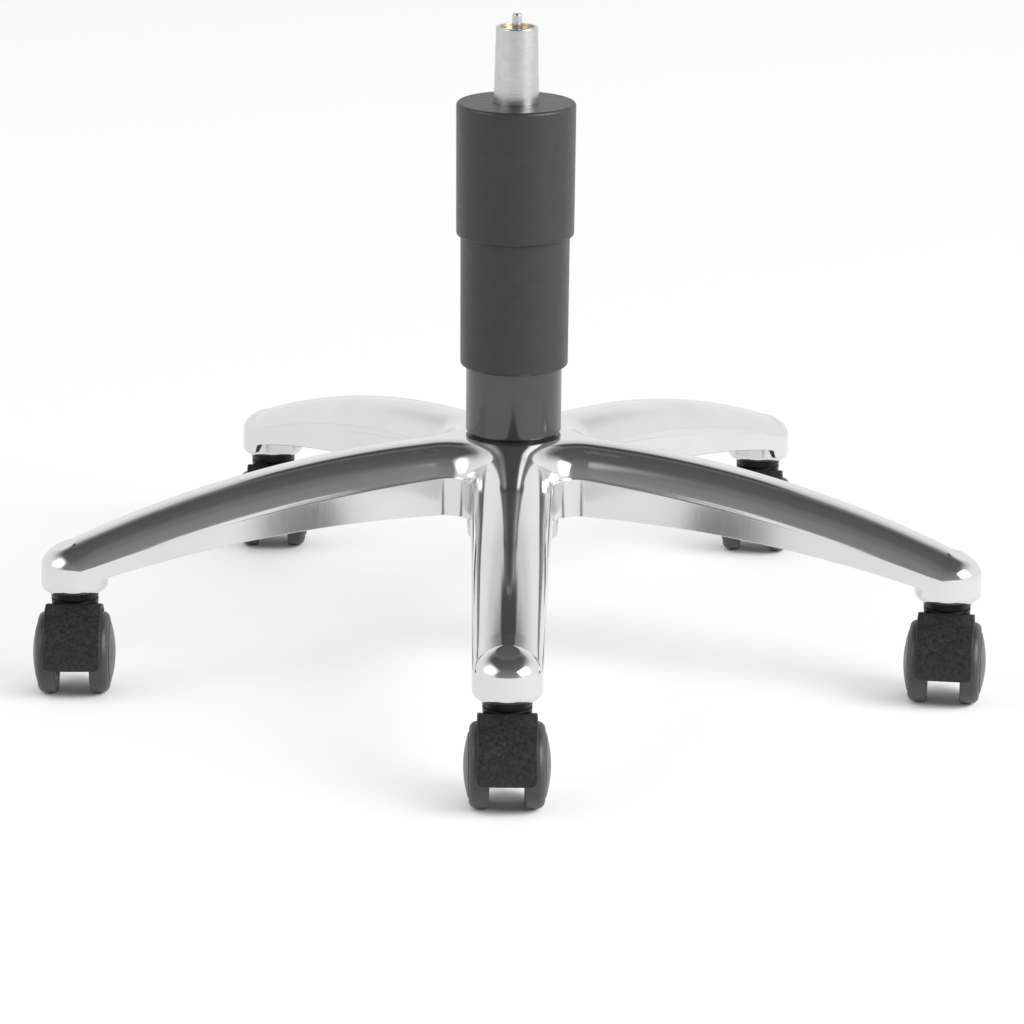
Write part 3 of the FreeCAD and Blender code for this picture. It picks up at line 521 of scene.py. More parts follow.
def half_width_at(radius):
    """Half the arm's width at a distance from the column, which stays the same round the nose."""
    return ARM_TIP_RADIUS + max(STEM_CIRCLE_RADIUS - radius, 0) * math.sin(ARM_TAPER)


def nose_share(x):
    """0 along the arm, rising to 1 at its nose."""
    return smooth_step((x - STEM_CIRCLE_RADIUS + END_MARGIN) / NOSE_LENGTH)


def bezier(handles, share):
    """Point on a cubic curve with four handles."""
    while len(handles) > 1:
        handles = [start.lerp(finish, share) for start, finish in zip(handles, handles[1:])]
    return handles[0]


def ledge_at(radius):
    """Step between the skirt and the crown, which fades out along the arm."""
    return LEDGE * smooth_step((LEDGE_END - radius) / LEDGE_FADE)


def arm_section(foot, normal):
    """Section of the casting at one station, from the top of the ridge round to its underside."""
    reach, at_bore = reach_of(foot, normal)
    half_width = min(reach, half_width_at(foot.x))
    section = []

    def radius_at(inset):
        return (foot - normal * inset).length

    def put(inset, height):
        spot = foot - normal * inset
        section.append((spot.x, spot.y, height))

    crease_height = crease(radius_at(0))
    skirt_height = skirt(radius_at(0))
    skirt_top = (crease_height - CASTING_FLOOR) * SKIRT_DRAFT
    skirt_foot = max(skirt_height - CASTING_FLOOR, 0) * SKIRT_DRAFT
    ledge = ledge_at(foot.x)
    edge_round = min(EDGE_ROUND, ledge)
    crown_inset = skirt_top + ledge
    size = half_width - crown_inset - CROWN_LAND
    size *= 1 - NOSE_TIGHTNESS * nose_share(foot.x) * normal.x ** 2
    centre, end_turn = round_under(foot, normal, crown_inset, size, 0)
    touch = crown_inset + size * (1 - math.cos(end_turn))
    for k in range(LAND_STEPS):
        inset = reach + (touch - reach) * k / LAND_STEPS
        put(inset, crest(radius_at(inset)))
    start_turn = math.asin(min(max((crease_height - centre) / size, 0), 1))
    top = Vector((touch, centre + size * math.sin(end_turn)))
    wall = Vector((crown_inset, crease_height))
    outwards = Vector((math.sin(end_turn), math.cos(end_turn))) * (touch - crown_inset)
    upwards = Vector((0, top.y - crease_height))
    handles = [top, top - outwards * NOSE_FULLNESS, wall + upwards * NOSE_FULLNESS, wall]
    for k in range(CROWN_STEPS + 1):
        turn = end_turn + (start_turn - end_turn) * k / CROWN_STEPS
        spot = Vector((crown_inset + size * (1 - math.cos(turn)), centre + size * math.sin(turn)))
        put(*spot.lerp(bezier(handles, k / CROWN_STEPS), nose_share(foot.x)))
    put(*spot.lerp(wall, nose_share(foot.x)))
    for k in range(ROUND_STEPS + 1):
        turn = math.pi / 2 * k / ROUND_STEPS
        put(
            skirt_top + edge_round * (1 - math.sin(turn)),
            crease_height - edge_round * (1 - math.cos(turn)),
        )
    foot_round = EDGE_ROUND * smooth_step((skirt_height - CASTING_FLOOR) / EDGE_ROUND)
    wall_top = crease_height - edge_round
    wall_foot = skirt_height + foot_round
    for k in range(SKIRT_STEPS + 1):
        share = (k + 0.5) / (SKIRT_STEPS + 1)
        put(skirt_top + (skirt_foot - skirt_top) * share, wall_top + (wall_foot - wall_top) * share)
    for k in range(ROUND_STEPS + 1):
        turn = math.pi / 2 * k / ROUND_STEPS
        put(
            skirt_foot + foot_round * (1 - math.cos(turn)),
            skirt_height + foot_round * (1 - math.sin(turn)),
        )
    pocket_inset = crown_inset + CASTING_WALL
    put(pocket_inset, skirt_height)
    pocket_size = size - CASTING_WALL
    centre, end_turn = round_under(foot, normal, pocket_inset, pocket_size, CASTING_WALL)
    for k in range(LAND_STEPS + 1):
        turn = end_turn * k / LAND_STEPS
        put(pocket_inset + pocket_size * (1 - math.cos(turn)), centre + pocket_size * math.sin(turn))
    put(reach, crest(radius_at(reach)) - CASTING_WALL)
    return section, at_bore


def half_arm():
    """Points, faces and streak coordinates of half an arm along +X."""
    points = []
    faces = []
    uvs = []
    columns = []
    bore_flags = []
    for foot, normal in arm_stations():
        section, at_bore = arm_section(foot, normal)
        start = len(points)
        across = 0.0
        for k, point in enumerate(section):
            if k:
                across += (Vector(point) - Vector(section[k - 1])).length
            points.append(point)
            uvs.append((point[0] * MM, across * MM))
        columns.append(list(range(start, len(points))))
        bore_flags.append(at_bore)
    for i in range(len(columns) - 1):
        column, following = columns[i], columns[i + 1]
        for k in range(len(column) - 1):
            faces.append([column[k], column[k + 1], following[k + 1], following[k]])
        if bore_flags[i] and bore_flags[i + 1]:
            faces.append([column[-1], column[0], following[0], following[-1]])
    return points, faces, uvs


def rib(middle):
    """Cross rib under an arm, let into the walls round its pocket."""
    inset = LEDGE + CASTING_WALL / 2
    size = half_width_at(middle) - inset - CROWN_LAND
    top = crest(middle) - CASTING_WALL / 2
    foot = skirt(middle) + EDGE_ROUND
    outline = [(-size - CROWN_LAND, foot), (size + CROWN_LAND, foot)]
    for k in range(2 * LAND_STEPS + 1):
        turn = math.pi * k / (2 * LAND_STEPS)
        outline.append((size * math.cos(turn), top - size * (1 - math.sin(turn))))
    walls = (middle - RIB_THICKNESS / 2, middle + RIB_THICKNESS / 2)
    return prism([[(x, y, z) for y, z in outline] for x in walls])


def castor_boss():
    """Round cup that closes the arm tip and holds the castor stem."""
    radius = ARM_TIP_RADIUS - SEAM_STEP
    top_radius = radius - (BOSS_TOP - BOSS_DEPTH) * SKIRT_DRAFT
    outline = rounded(
        [
            (BOSS_BORE, BOSS_HEIGHT),
            (radius, BOSS_HEIGHT, BOSS_ROUND),
            (radius, CASTING_FLOOR),
            (top_radius, BOSS_HEIGHT + BOSS_TOP),
            (BOSS_BORE, BOSS_HEIGHT + BOSS_TOP),
        ]
    )
    points, faces = turned(outline)
    return [(x + STEM_CIRCLE_RADIUS, y, z) for x, y, z in points], faces


def hub_socket():
    """Tapered socket under the hub, which grips the column."""
    foot = HUB_TOP - HUB_DROP
    top = HUB_TOP - EDGE_ROUND
    return turned(
        rounded(
            [
                (HUB_FOOT_BORE, foot, EDGE_ROUND),
                (HUB_FOOT_RADIUS, foot, 2 * EDGE_ROUND),
                (HUB_RADIUS, top),
                (HUB_BORE_RADIUS, top),
            ]
        )
    )


def make_star_base():
    points, faces, uvs = half_arm()
    mirrored = [(x, -y, z) for x, y, z in points], [face[::-1] for face in faces]
    uvs = uvs + [(u, -v) for u, v in uvs]
    add_shape(points, faces, mirrored)
    extras = [castor_boss()]
    length = STEM_CIRCLE_RADIUS - POCKET_TIP_MARGIN - POCKET_START
    cell = (length - RIB_COUNT * RIB_THICKNESS) / (RIB_COUNT + 1)
    for k in range(RIB_COUNT):
        extras.append(rib(POCKET_START + (k + 1) * (cell + RIB_THICKNESS) - RIB_THICKNESS / 2))
    for extra in extras:
        uvs += [(x * MM, (y + z) * MM) for x, y, z in extra[0]]
        add_shape(points, faces, extra)
    all_points = []
    all_faces = []
    all_uvs = []
    for k in range(len(ARMS)):
        turn = Matrix.Rotation(-math.pi / 2 + k * 2 * ARM_HALF_ANGLE, 3, "Z")
        add_shape(all_points, all_faces, ([turn @ Vector(point) for point in points], faces))
        all_uvs += uvs
    hub = hub_socket()
    all_uvs += [(math.atan2(y, x) * HUB_RADIUS * MM, z * MM) for x, y, z in hub[0]]
    add_shape(all_points, all_faces, hub)
    mesh = make_mesh("cast_base", all_points, all_faces, all_uvs)
    piece = make_object("cast_base", mesh, slot_of["star_base"])
    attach(piece, body_of["star_base"])
    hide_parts("star_base")


# Telescopic cover and lift


def guided_sleeve(name, node, radius, foot_round, inner, inner_round):
    """Cover that closes in at its foot and guides the next one at its top, whose radius is returned."""
    low, high = box(node)
    bore = radius - SLEEVE_WALL
    guide_foot = high.z - SLEEVE_GUIDE_HEIGHT
    turned_piece(
        name,
        node,
        [
            (inner, low.z, inner_round),
            (radius, low.z, foot_round),
            (radius + (guide_foot - low.z) * SLEEVE_DRAFT, guide_foot),
            (high.x, guide_foot, EDGE_ROUND),
            (high.x, high.z, EDGE_ROUND),
            (bore, high.z, EDGE_ROUND),
            (bore, low.z + SLEEVE_LIP_HEIGHT),
            (inner, low.z + SLEEVE_LIP_HEIGHT),
        ],
    )
    return radius + (high.z - low.z) * SLEEVE_DRAFT


def make_sleeves():
    """Three covers in one another, each with a rounded lip that bears on the next."""
    column = box("column_tube")[1].x
    lower = ("cover_lower", "lower_sleeve", LOWER_SLEEVE_RADIUS, LOWER_SLEEVE_ROUND)
    lip = guided_sleeve(*lower, column, 0) + SLEEVE_GAP
    middle = ("cover_middle", "middle_sleeve", MIDDLE_SLEEVE_RADIUS, SLEEVE_LIP_ROUND)
    lip = guided_sleeve(*middle, lip, EDGE_ROUND) + SLEEVE_GAP / 2
    low, high = box("upper_sleeve")
    bore = UPPER_SLEEVE_RADIUS - SLEEVE_WALL
    tube = box("pressure_tube")[1].x
    turned_piece(
        "cover_upper",
        "upper_sleeve",
        [
            (lip, low.z, EDGE_ROUND / 2),
            (UPPER_SLEEVE_RADIUS, low.z, SLEEVE_LIP_ROUND),
            (high.x, high.z, SLEEVE_LIP_ROUND),
            (tube, high.z, EDGE_ROUND),
            (tube, high.z - GRIP_DEPTH),
            (tube + GRIP_WALL, high.z - GRIP_DEPTH),
            (tube + GRIP_WALL, high.z - PLATE_THICKNESS),
            (bore, high.z - PLATE_THICKNESS),
            (bore, low.z + SLEEVE_LIP_HEIGHT),
            (lip, low.z + SLEEVE_LIP_HEIGHT),
        ],
    )


def make_lift():
    """Pressure tube with the seat taper, the valve in its mouth and the release pin."""
    low, high = box("pressure_tube")
    taper_foot = high.z - TAPER_LENGTH
    top_radius = high.x - TAPER_LENGTH * TAPER_SLOPE
    bore = high.x - TUBE_WALL
    turned_piece(
        "lift_tube",
        "pressure_tube",
        [
            (bore, low.z),
            (high.x, low.z, EDGE_ROUND),
            (high.x, taper_foot),
            (top_radius, high.z, TAPER_CHAMFER),
            (VALVE_RADIUS, high.z, EDGE_ROUND / 2),
            (VALVE_RADIUS, taper_foot),
            (bore, taper_foot - TUBE_WALL),
        ],
    )
    low, high = box("valve_body")
    turned_piece(
        "lift_valve",
        "valve_body",
        [
            (0, low.z),
            (VALVE_RADIUS, low.z),
            (VALVE_RADIUS, high.z, EDGE_ROUND),
            (VALVE_RADIUS - VALVE_STEP, high.z, EDGE_ROUND),
            (VALVE_RADIUS - VALVE_STEP, high.z - VALVE_STEP),
            (PIN_RADIUS + VALVE_STEP, high.z - VALVE_STEP, EDGE_ROUND),
            (PIN_RADIUS, high.z - 2 * VALVE_STEP),
            (PIN_RADIUS, low.z + VALVE_STEP),
            (0, low.z + VALVE_STEP),
        ],
    )
    low, high = box("release_pin")
    turned_piece(
        "lift_release_pin",
        "release_pin",
        [(0, low.z), (PIN_RADIUS, low.z), (PIN_RADIUS, high.z, PIN_TIP_ROUND), (0, high.z)],
    )


# Castors, each built with its stem on the Z axis, trailing along -Y


def castor_place(arm_name):
    """Where a castor stands in the frame, with its stem as the origin."""
    stem = Vector(joints[f"{arm_name}_castor_swivel"]["pos_m"])
    axle = joints[f"{arm_name}_castor_left_roll"]["axis"]
    turn = Matrix.Rotation(math.atan2(axle[1], axle[0]), 4, "Z")
    return Matrix.Translation((stem.x, stem.y, 0)) @ turn


def castor_trail():
    stem = Vector(joints["front_castor_swivel"]["pos_m"]).to_2d()
    axle = Vector(joints["front_castor_left_roll"]["pos_m"]).to_2d()
    return (axle - stem).length / MM


def around_axle(x, radius, turn):
    """Point about the axle, where a turn of 0 points along the trail and a right angle points up."""
    return (x, -TRAIL - radius * math.cos(turn), AXLE_HEIGHT + radius * math.sin(turn))


def hood_rows(inset):
    """Rows of the hood from its front edge over to the back: (turn, half width)."""
    start = HOOD_FRONT + inset / HOOD_RADIUS
    finish = HOOD_BACK - inset / HOOD_RADIUS
    length = (finish - start) * HOOD_RADIUS
    corner = HOOD_CORNER - inset
    half_width = HOOD_HALF_WIDTH - inset
    bend = [corner * (1 - math.cos(math.pi / 2 * k / HOOD_CORNER_ROWS)) for k in range(HOOD_CORNER_ROWS)]
    straight = [corner + (length - 2 * corner) * k / HOOD_ROWS for k in range(HOOD_ROWS + 1)]
    runs = bend + straight + [length - run for run in reversed(bend)]
    rows = []
    for run in runs:
        short = corner - min(run, length - run, corner)
        rows.append((start + run / HOOD_RADIUS, half_width - corner + math.sqrt(corner ** 2 - short ** 2)))
    return rows


def hood_grid(inset, radius):
    grid = []
    for turn, half_width in hood_rows(inset):
        shares = [2 * k / HOOD_COLUMNS - 1 for k in range(HOOD_COLUMNS + 1)]
        grid.append([around_axle(half_width * share, radius, turn) for share in shares])
    return grid


def edge_of(grid):
    """The points round the edge of a grid, in order."""
    right = [row[-1] for row in grid[1:-1]]
    left = [row[0] for row in grid[1:-1]]
    return grid[0] + right + grid[-1][::-1] + left[::-1]


def hood():
    """Curved guard over both wheels, with rounded corners and edges."""
    points = []
    faces = []
    inner_radius = HOOD_RADIUS - HOOD_THICKNESS
    for radius in (HOOD_RADIUS, inner_radius):
        grid = hood_grid(HOOD_EDGE, radius)
        start = len(points)
        width = len(grid[0])
        points.extend(point for row in grid for point in row)
        for i in range(len(grid) - 1):
            for k in range(width - 1):
                corner = start + i * width + k
                faces.append([corner, corner + 1, corner + width + 1, corner + width])
    loops = []
    for k in range(ROUND_STEPS + 1):
        turn = math.pi / 2 * k / ROUND_STEPS
        inset = HOOD_EDGE * (1 - math.sin(turn))
        loops.append((inset, HOOD_RADIUS - HOOD_EDGE * (1 - math.cos(turn))))
    loops += [(inset, HOOD_RADIUS + inner_radius - radius) for inset, radius in reversed(loops)]
    rings = []
    for inset, radius in loops:
        edge = edge_of(hood_grid(inset, radius))
        rings.append(list(range(len(points), len(points) + len(edge))))
        points.extend(edge)
    for ring, following in zip(rings, rings[1:]):
        for k in range(len(ring)):
            after = (k + 1) % len(ring)
            faces.append([ring[k], ring[after], following[after], following[k]])
    return points, faces


def along_axle(radius, half_length):
    """Cylinder about the axle."""
    points, faces = cylinder(radius, -half_length, half_length)
    return [(z, y - TRAIL, x + AXLE_HEIGHT) for x, y, z in points], faces


def web():
    """Wall between the wheels, from the axle up to the hood."""
    outline = [(0.0, 0.0)]
    radius = HOOD_RADIUS - HOOD_THICKNESS / 2
    for k in range(HOOD_COLUMNS + 1):
        turn = WEB_FRONT + (WEB_BACK - WEB_FRONT) * k / HOOD_COLUMNS
        outline.append((radius, turn))
    walls = (-WEB_HALF_WIDTH, WEB_HALF_WIDTH)
    return prism([[around_axle(x, *spot) for spot in outline] for x in walls])


def brow():
    """Straight upper edge of the hood, in front of the collar."""
    _, start_y, start_z = around_axle(0, HOOD_RADIUS, BROW_START)
    inner = HOOD_RADIUS - HOOD_THICKNESS / 2
    _, inner_y, inner_z = around_axle(0, inner, BROW_START)
    outline = [
        (start_y, start_z),
        (-BROW_FRONT, BROW_TOP),
        (-BROW_BACK, BROW_TOP),
        (-BROW_BACK, AXLE_HEIGHT + inner),
        (inner_y, inner_z),
    ]
    half_width = HOOD_HALF_WIDTH - HOOD_EDGE / 2
    return prism([[(x, y, z) for y, z in outline] for x in (-half_width, half_width)])


def housing_mesh():
    """Hood, brow, collar seat and web joined into one moulding, with its edges softened."""
    collar_foot = box("front_castor_collar")[0].z - SEAT_DROP
    shapes = {
        "hood": hood(),
        "brow": brow(),
        "seat": cylinder(SEAT_RADIUS, collar_foot - SEAT_DEPTH, collar_foot),
        "web": web(),
        "web_hub": along_axle(WEB_HUB_RADIUS, WEB_HALF_WIDTH),
        "wheel_room": along_axle(HOOD_RADIUS - HOOD_THICKNESS, 2 * HOOD_HALF_WIDTH),
        "pocket": cylinder(POCKET_RADIUS, collar_foot, collar_foot + SEAT_DEPTH),
    }
    tools = {}
    for name, shape in shapes.items():
        tools[name] = bpy.data.objects.new(name, make_mesh(name, *shape))
        bpy.context.scene.collection.objects.link(tools[name])
    steps = (
        ("seat", "wheel_room", "DIFFERENCE"),
        ("hood", "seat", "UNION"),
        ("hood", "brow", "UNION"),
        ("hood", "web", "UNION"),
        ("hood", "web_hub", "UNION"),
        ("hood", "pocket", "DIFFERENCE"),
    )
    for target, other, operation in steps:
        change = tools[target].modifiers.new(other, "BOOLEAN")
        change.operation = operation
        change.object = tools[other]
    remesh = tools["hood"].modifiers.new("remesh", "REMESH")
    remesh.mode = "VOXEL"
    remesh.voxel_size = HOUSING_VOXEL * MM
    soften = tools["hood"].modifiers.new("soften", "SMOOTH")
    soften.iterations = HOUSING_SMOOTHING
    bpy.context.view_layer.update()
    moulded = tools["hood"].evaluated_get(bpy.context.evaluated_depsgraph_get())
    mesh = bpy.data.meshes.new_from_object(moulded)
    mesh.name = "castor_housing"
    mesh.shade_smooth()
    for tool in tools.values():
        bpy.data.objects.remove(tool)
    return mesh


def collar_mesh():
    """Tapered ring with one groove, between the housing and the arm tip."""
    low, high = box("front_castor_collar")
    middle = (low.z + high.z) / 2
    middle_radius = (COLLAR_FOOT_RADIUS + COLLAR_TOP_RADIUS) / 2
    floor_radius = middle_radius - COLLAR_GROOVE
    outline = rounded(
        [
            (COLLAR_BORE, low.z - SEAT_DROP),
            (COLLAR_FOOT_RADIUS, low.z - SEAT_DROP, COLLAR_ROUND),
            (middle_radius, middle - COLLAR_GROOVE_WIDTH / 2, COLLAR_ROUND),
            (floor_radius, middle - COLLAR_GROOVE_WIDTH / 2),
            (floor_radius, middle + COLLAR_GROOVE_WIDTH / 2),
            (middle_radius, middle + COLLAR_GROOVE_WIDTH / 2, COLLAR_ROUND),
            (COLLAR_TOP_RADIUS, high.z, COLLAR_ROUND),
            (COLLAR_BORE, high.z),
        ]
    )
    return make_mesh("castor_collar", *turned(outline))


def wheel_mesh():
    """Moulded wheel centre: hub, rim and the domed face that covers the axle's end."""
    face = TYRE_OUTER_FACE + CAP_EDGE
    floor = face - RIM_WALL
    outline = rounded(
        [
            (0, floor),
            (RIM_BORE, floor),
            (RIM_BORE, WHEEL_INNER_FACE),
            (RIM_HUB_RADIUS, WHEEL_INNER_FACE, EDGE_ROUND),
            (RIM_HUB_RADIUS, floor - RIM_WALL),
            (RIM_RADIUS - RIM_WALL, floor - RIM_WALL),
            (RIM_RADIUS - RIM_WALL, WHEEL_INNER_FACE + EDGE_ROUND, EDGE_ROUND),
            (RIM_RADIUS, WHEEL_INNER_FACE + EDGE_ROUND),
            (RIM_RADIUS, TYRE_OUTER_FACE - SEAM_DEPTH),
            (CAP_RADIUS, TYRE_OUTER_FACE - SEAM_DEPTH),
            (CAP_RADIUS, face, CAP_ROUND),
            (CAP_RADIUS - CAP_RIM, face + CAP_RISE),
        ]
    )
    for k in range(1, DOME_STEPS + 1):
        radius = (CAP_RADIUS - CAP_RIM) * (1 - k / DOME_STEPS)
        share = radius / (CAP_RADIUS - CAP_RIM)
        outline.append(Vector((radius, face + CAP_RISE + (CAP_DOME - CAP_RISE) * (1 - share ** 2))))
    return make_mesh("castor_wheel", *turned(outline))


def tyre_mesh():
    """Tread with a large outer shoulder, and a narrow seam round the wheel's face."""
    seam_radius = CAP_RADIUS + SEAM_WIDTH
    outline = rounded(
        [
            (RIM_RADIUS, WHEEL_INNER_FACE),
            (WHEEL_RADIUS, WHEEL_INNER_FACE, TYRE_INNER_ROUND),
            (WHEEL_RADIUS, TYRE_OUTER_FACE, TYRE_SHOULDER),
            (seam_radius, TYRE_OUTER_FACE, CAP_ROUND),
            (seam_radius, TYRE_OUTER_FACE - SEAM_DEPTH),
            (RIM_RADIUS, TYRE_OUTER_FACE - SEAM_DEPTH),
        ]
    )
    return make_mesh("castor_tyre", *turned(outline))


def castor_piece(name, mesh, node, place):
    piece = make_object(name, mesh, slot_of[node])
    piece.matrix_world = place
    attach(piece, body_of[node])
    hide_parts(node)


def make_castors():
    housing = housing_mesh()
    collar = collar_mesh()
    wheel = wheel_mesh()
    tyre = tyre_mesh()
    for arm_name in ARMS:
        castor = f"{arm_name}_castor"
        place = castor_place(arm_name)
        castor_piece(f"{castor}_hood", housing, f"{castor}_housing", place)
        castor_piece(f"{castor}_ring", collar, f"{castor}_collar", place)
        axle = place @ Matrix.Translation(Vector((0, -TRAIL, AXLE_HEIGHT)) * MM)
        for side_name, side in SIDES:
            turned_place = axle @ Matrix.Rotation(side * math.pi / 2, 4, "Y")
            node = f"{castor}_{side_name}_wheel"
            castor_piece(f"{castor}_{side_name}_centre", wheel, node, turned_place)
            castor_piece(f"{castor}_{side_name}_tread", tyre, f"{node}_tyre", turned_place)


# Materials


def grey(level):
    return (level, level, level)


def colour_sockets(sockets):
    return [socket for socket in sockets if socket.type == "RGBA"]


def ranged(tree, value, span, low, high, kind="LINEAR"):
    """A value that runs from low to high over a span."""
    node = tree.nodes.new("ShaderNodeMapRange")
    node.interpolation_type = kind
    limits = {"From Min": span[0], "From Max": span[1], "To Min": low, "To Max": high}
    for name, limit in limits.items():
        node.inputs[name].default_value = limit
    tree.links.new(value, node.inputs["Value"])
    return node.outputs["Result"]


class Finish:
    """A Principled material whose fixed values sit on the shader and whose detail comes from noise."""

    def __init__(self, slot, roughness, metallic=0.0, specular=0.5):
        self.material = bpy.data.materials.new(slot)
        self.material.use_nodes = True
        self.tree = self.material.node_tree
        self.shader = self.tree.nodes["Principled BSDF"]
        self.set("Roughness", roughness)
        self.set("Metallic", metallic)
        self.set("Specular IOR Level", specular)

    def set(self, socket, value):
        self.shader.inputs[socket].default_value = value

    def add(self, kind, **values):
        node = self.tree.nodes.new(kind)
        for name, value in values.items():
            setattr(node, name, value)
        return node

    def link(self, source, target):
        self.tree.links.new(source, target)

    def place(self, stretch, source="Object"):
        """Texture coordinates in metres, divided by a size in millimetres along each axis."""
        coords = self.add("ShaderNodeTexCoord")
        mapping = self.add("ShaderNodeMapping")
        mapping.inputs["Scale"].default_value = [1 / (size * MM) for size in stretch]
        self.link(coords.outputs[source], mapping.inputs["Vector"])
        return mapping.outputs["Vector"]

    def noise(self, size, detail=2.0, source="Object"):
        """Noise whose features are about size millimetres across, alike or along each axis."""
        stretch = size if isinstance(size, tuple) else (size, size, size)
        texture = self.add("ShaderNodeTexNoise")
        texture.inputs["Scale"].default_value = 1.0
        texture.inputs["Detail"].default_value = detail
        self.link(self.place(stretch, source), texture.inputs["Vector"])
        return texture.outputs["Fac"]

    def spread(self, value, low, high, span=NOISE_SPAN):
        """A noise value stretched to run from low to high."""
        return ranged(self.tree, value, span, low, high)

    def colour(self, value, dark, light):
        """Base colour that wanders between two tones."""
        node = self.add("ShaderNodeMix", data_type="RGBA")
        colours = colour_sockets(node.inputs)
        colours[0].default_value = (*dark, 1)
        colours[1].default_value = (*light, 1)
        self.link(self.spread(value, 0, 1), node.inputs[0])
        self.link(colour_sockets(node.outputs)[0], self.shader.inputs["Base Color"])

    def upright(self):
        """1 on upright walls, and 0 on all that leans by more than a few degrees."""
        geometry = self.add("ShaderNodeNewGeometry")
        split = self.add("ShaderNodeSeparateXYZ")
        lean = self.add("ShaderNodeMath", operation="ABSOLUTE")
        self.link(geometry.outputs["Normal"], split.inputs[0])
        self.link(split.outputs["Z"], lean.inputs[0])
        return self.spread(lean.outputs[0], 1.0, 0.0, WALL_LEAN)

    def blend(self, share, first, second):
        """The first value where share is 0 and the second where it is 1."""
        node = self.add("ShaderNodeMix", data_type="FLOAT")
        for socket, value in zip((node.inputs[0], node.inputs[2], node.inputs[3]), (share, first, second)):
            self.link(value, socket)
        return node.outputs[0]

    def roughness(self, value, low, high):
        self.link(self.spread(value, low, high), self.shader.inputs["Roughness"])

    def bump(self, value, depth, strength=1.0, under=None):
        """Surface relief that is depth millimetres deep, laid over any bump under it."""
        node = self.add("ShaderNodeBump")
        node.inputs["Strength"].default_value = strength
        node.inputs["Distance"].default_value = depth * MM
        self.link(value, node.inputs["Height"])
        if under is not None:
            self.link(under.outputs["Normal"], node.inputs["Normal"])
        self.link(node.outputs["Normal"], self.shader.inputs["Normal"])
        return node


def polished_aluminium(slot):
    """Bright casting, buffed along its crowned arms and ground upright on their flat sides."""
    finish = Finish(slot, CROWN_ROUGHNESS[0], metallic=CROWN_METALLIC)
    finish.colour(finish.noise(ALUMINIUM_CLOUD), ALUMINIUM_DARK, ALUMINIUM_LIGHT)
    buffing = finish.noise(BUFFING_MARK, source="UV")
    grinding = finish.noise(GRINDING_MARK, source="UV")
    crown_roughness = finish.spread(buffing, *CROWN_ROUGHNESS)
    wall_roughness = finish.spread(grinding, *WALL_ROUGHNESS)
    walls = finish.upright()
    roughness = finish.blend(walls, crown_roughness, wall_roughness)
    metallic = finish.spread(walls, CROWN_METALLIC, WALL_METALLIC, (0.0, 1.0))
    finish.link(roughness, finish.shader.inputs["Roughness"])
    finish.link(metallic, finish.shader.inputs["Metallic"])
    waves = finish.noise(CASTING_WAVE, detail=1.0, source="UV")
    waved = finish.bump(waves, CASTING_WAVE_DEPTH, strength=CASTING_WAVE_STRENGTH)
    finish.bump(buffing, BUFFING_DEPTH, strength=BUFFING_STRENGTH, under=waved)
    return finish.material


def grained_plastic(slot):
    """Dull black plastic with a coarse leathery grain and patches that are a little glossier than the rest."""
    finish = Finish(slot, HOOD_ROUGHNESS[0], specular=HOOD_SPECULAR)
    finish.colour(finish.noise(HOOD_SPECKLE, detail=8.0), *[grey(tone) for tone in HOOD_TONES])
    finish.roughness(finish.noise(HOOD_GLOSS_PATCH, detail=3.0), *HOOD_ROUGHNESS)
    finish.bump(finish.noise(HOOD_GRAIN, detail=3.0), HOOD_GRAIN_DEPTH)
    return finish.material


def moulded_plastic(slot, tone, roughness, grain, depth, specular):
    """Moulded plastic with an even spark-eroded grain and slightly uneven gloss."""
    finish = Finish(slot, roughness, specular=specular)
    dark = grey(tone * (1 - PLASTIC_VARIATION))
    light = grey(tone * (1 + PLASTIC_VARIATION))
    finish.colour(finish.noise(PLASTIC_CLOUD, detail=4.0), dark, light)
    patches = finish.noise(GLOSS_PATCH, detail=3.0)
    finish.roughness(patches, roughness - GLOSS_VARIATION, roughness + GLOSS_VARIATION)
    finish.bump(finish.noise(grain, detail=3.0), depth)
    return finish.material


def turned_metal(slot, colour, roughness, pitch):
    """Metal with the fine rings that turning or grinding leaves across its axis."""
    finish = Finish(slot, roughness, metallic=1.0)
    finish.colour(finish.noise(METAL_CLOUD), [level * METAL_DULLING for level in colour], colour)
    rings = finish.noise((RING_LENGTH, RING_LENGTH, pitch), detail=3.0)
    finish.roughness(rings, *[roughness + change for change in RING_GLOSS])
    finish.bump(rings, RING_DEPTH, strength=RING_STRENGTH)
    return finish.material


made_materials = {}


def material(slot):
    """The finish of a material slot, made once."""
    if slot in made_materials:
        return made_materials[slot]
    if slot in PLASTICS:
        made = moulded_plastic(slot, *PLASTICS[slot])
    elif slot in METALS:
        made = turned_metal(slot, *METALS[slot])
    elif slot == "hood_plastic":
        made = grained_plastic(slot)
    else:
        made = polished_aluminium(slot)
    made_materials[slot] = made
    return made


def dress_hidden_nodes():
    """Give each CAD node that stays its procedural finish."""
    for name, node in nodes.items():
        node.data.materials.clear()
        node.data.materials.append(material(slot_of[name]))


# Studio


def math_node(tree, operation, *values):
    """Result of a math node that is fed by sockets and plain numbers."""
    node = tree.nodes.new("ShaderNodeMath")
    node.operation = operation
    for socket, value in zip(node.inputs, values):
        if isinstance(value, float):
            socket.default_value = value
        else:
            tree.links.new(value, socket)
    return node.outputs[0]


def rise(tree, value, span):
    """0 before a span, 1 after it and a smooth rise between."""
    return ranged(tree, value, span, 0.0, 1.0, "SMOOTHSTEP")


def mixed(tree, share, colour, tone):
    """A colour that turns to a grey tone where share is 1."""
    node = tree.nodes.new("ShaderNodeMix")
    node.data_type = "RGBA"
    colours = colour_sockets(node.inputs)
    colours[1].default_value = (*grey(tone), 1)
    tree.links.new(share, node.inputs[0])
    tree.links.new(colour, colours[0])
    return colour_sockets(node.outputs)[0]


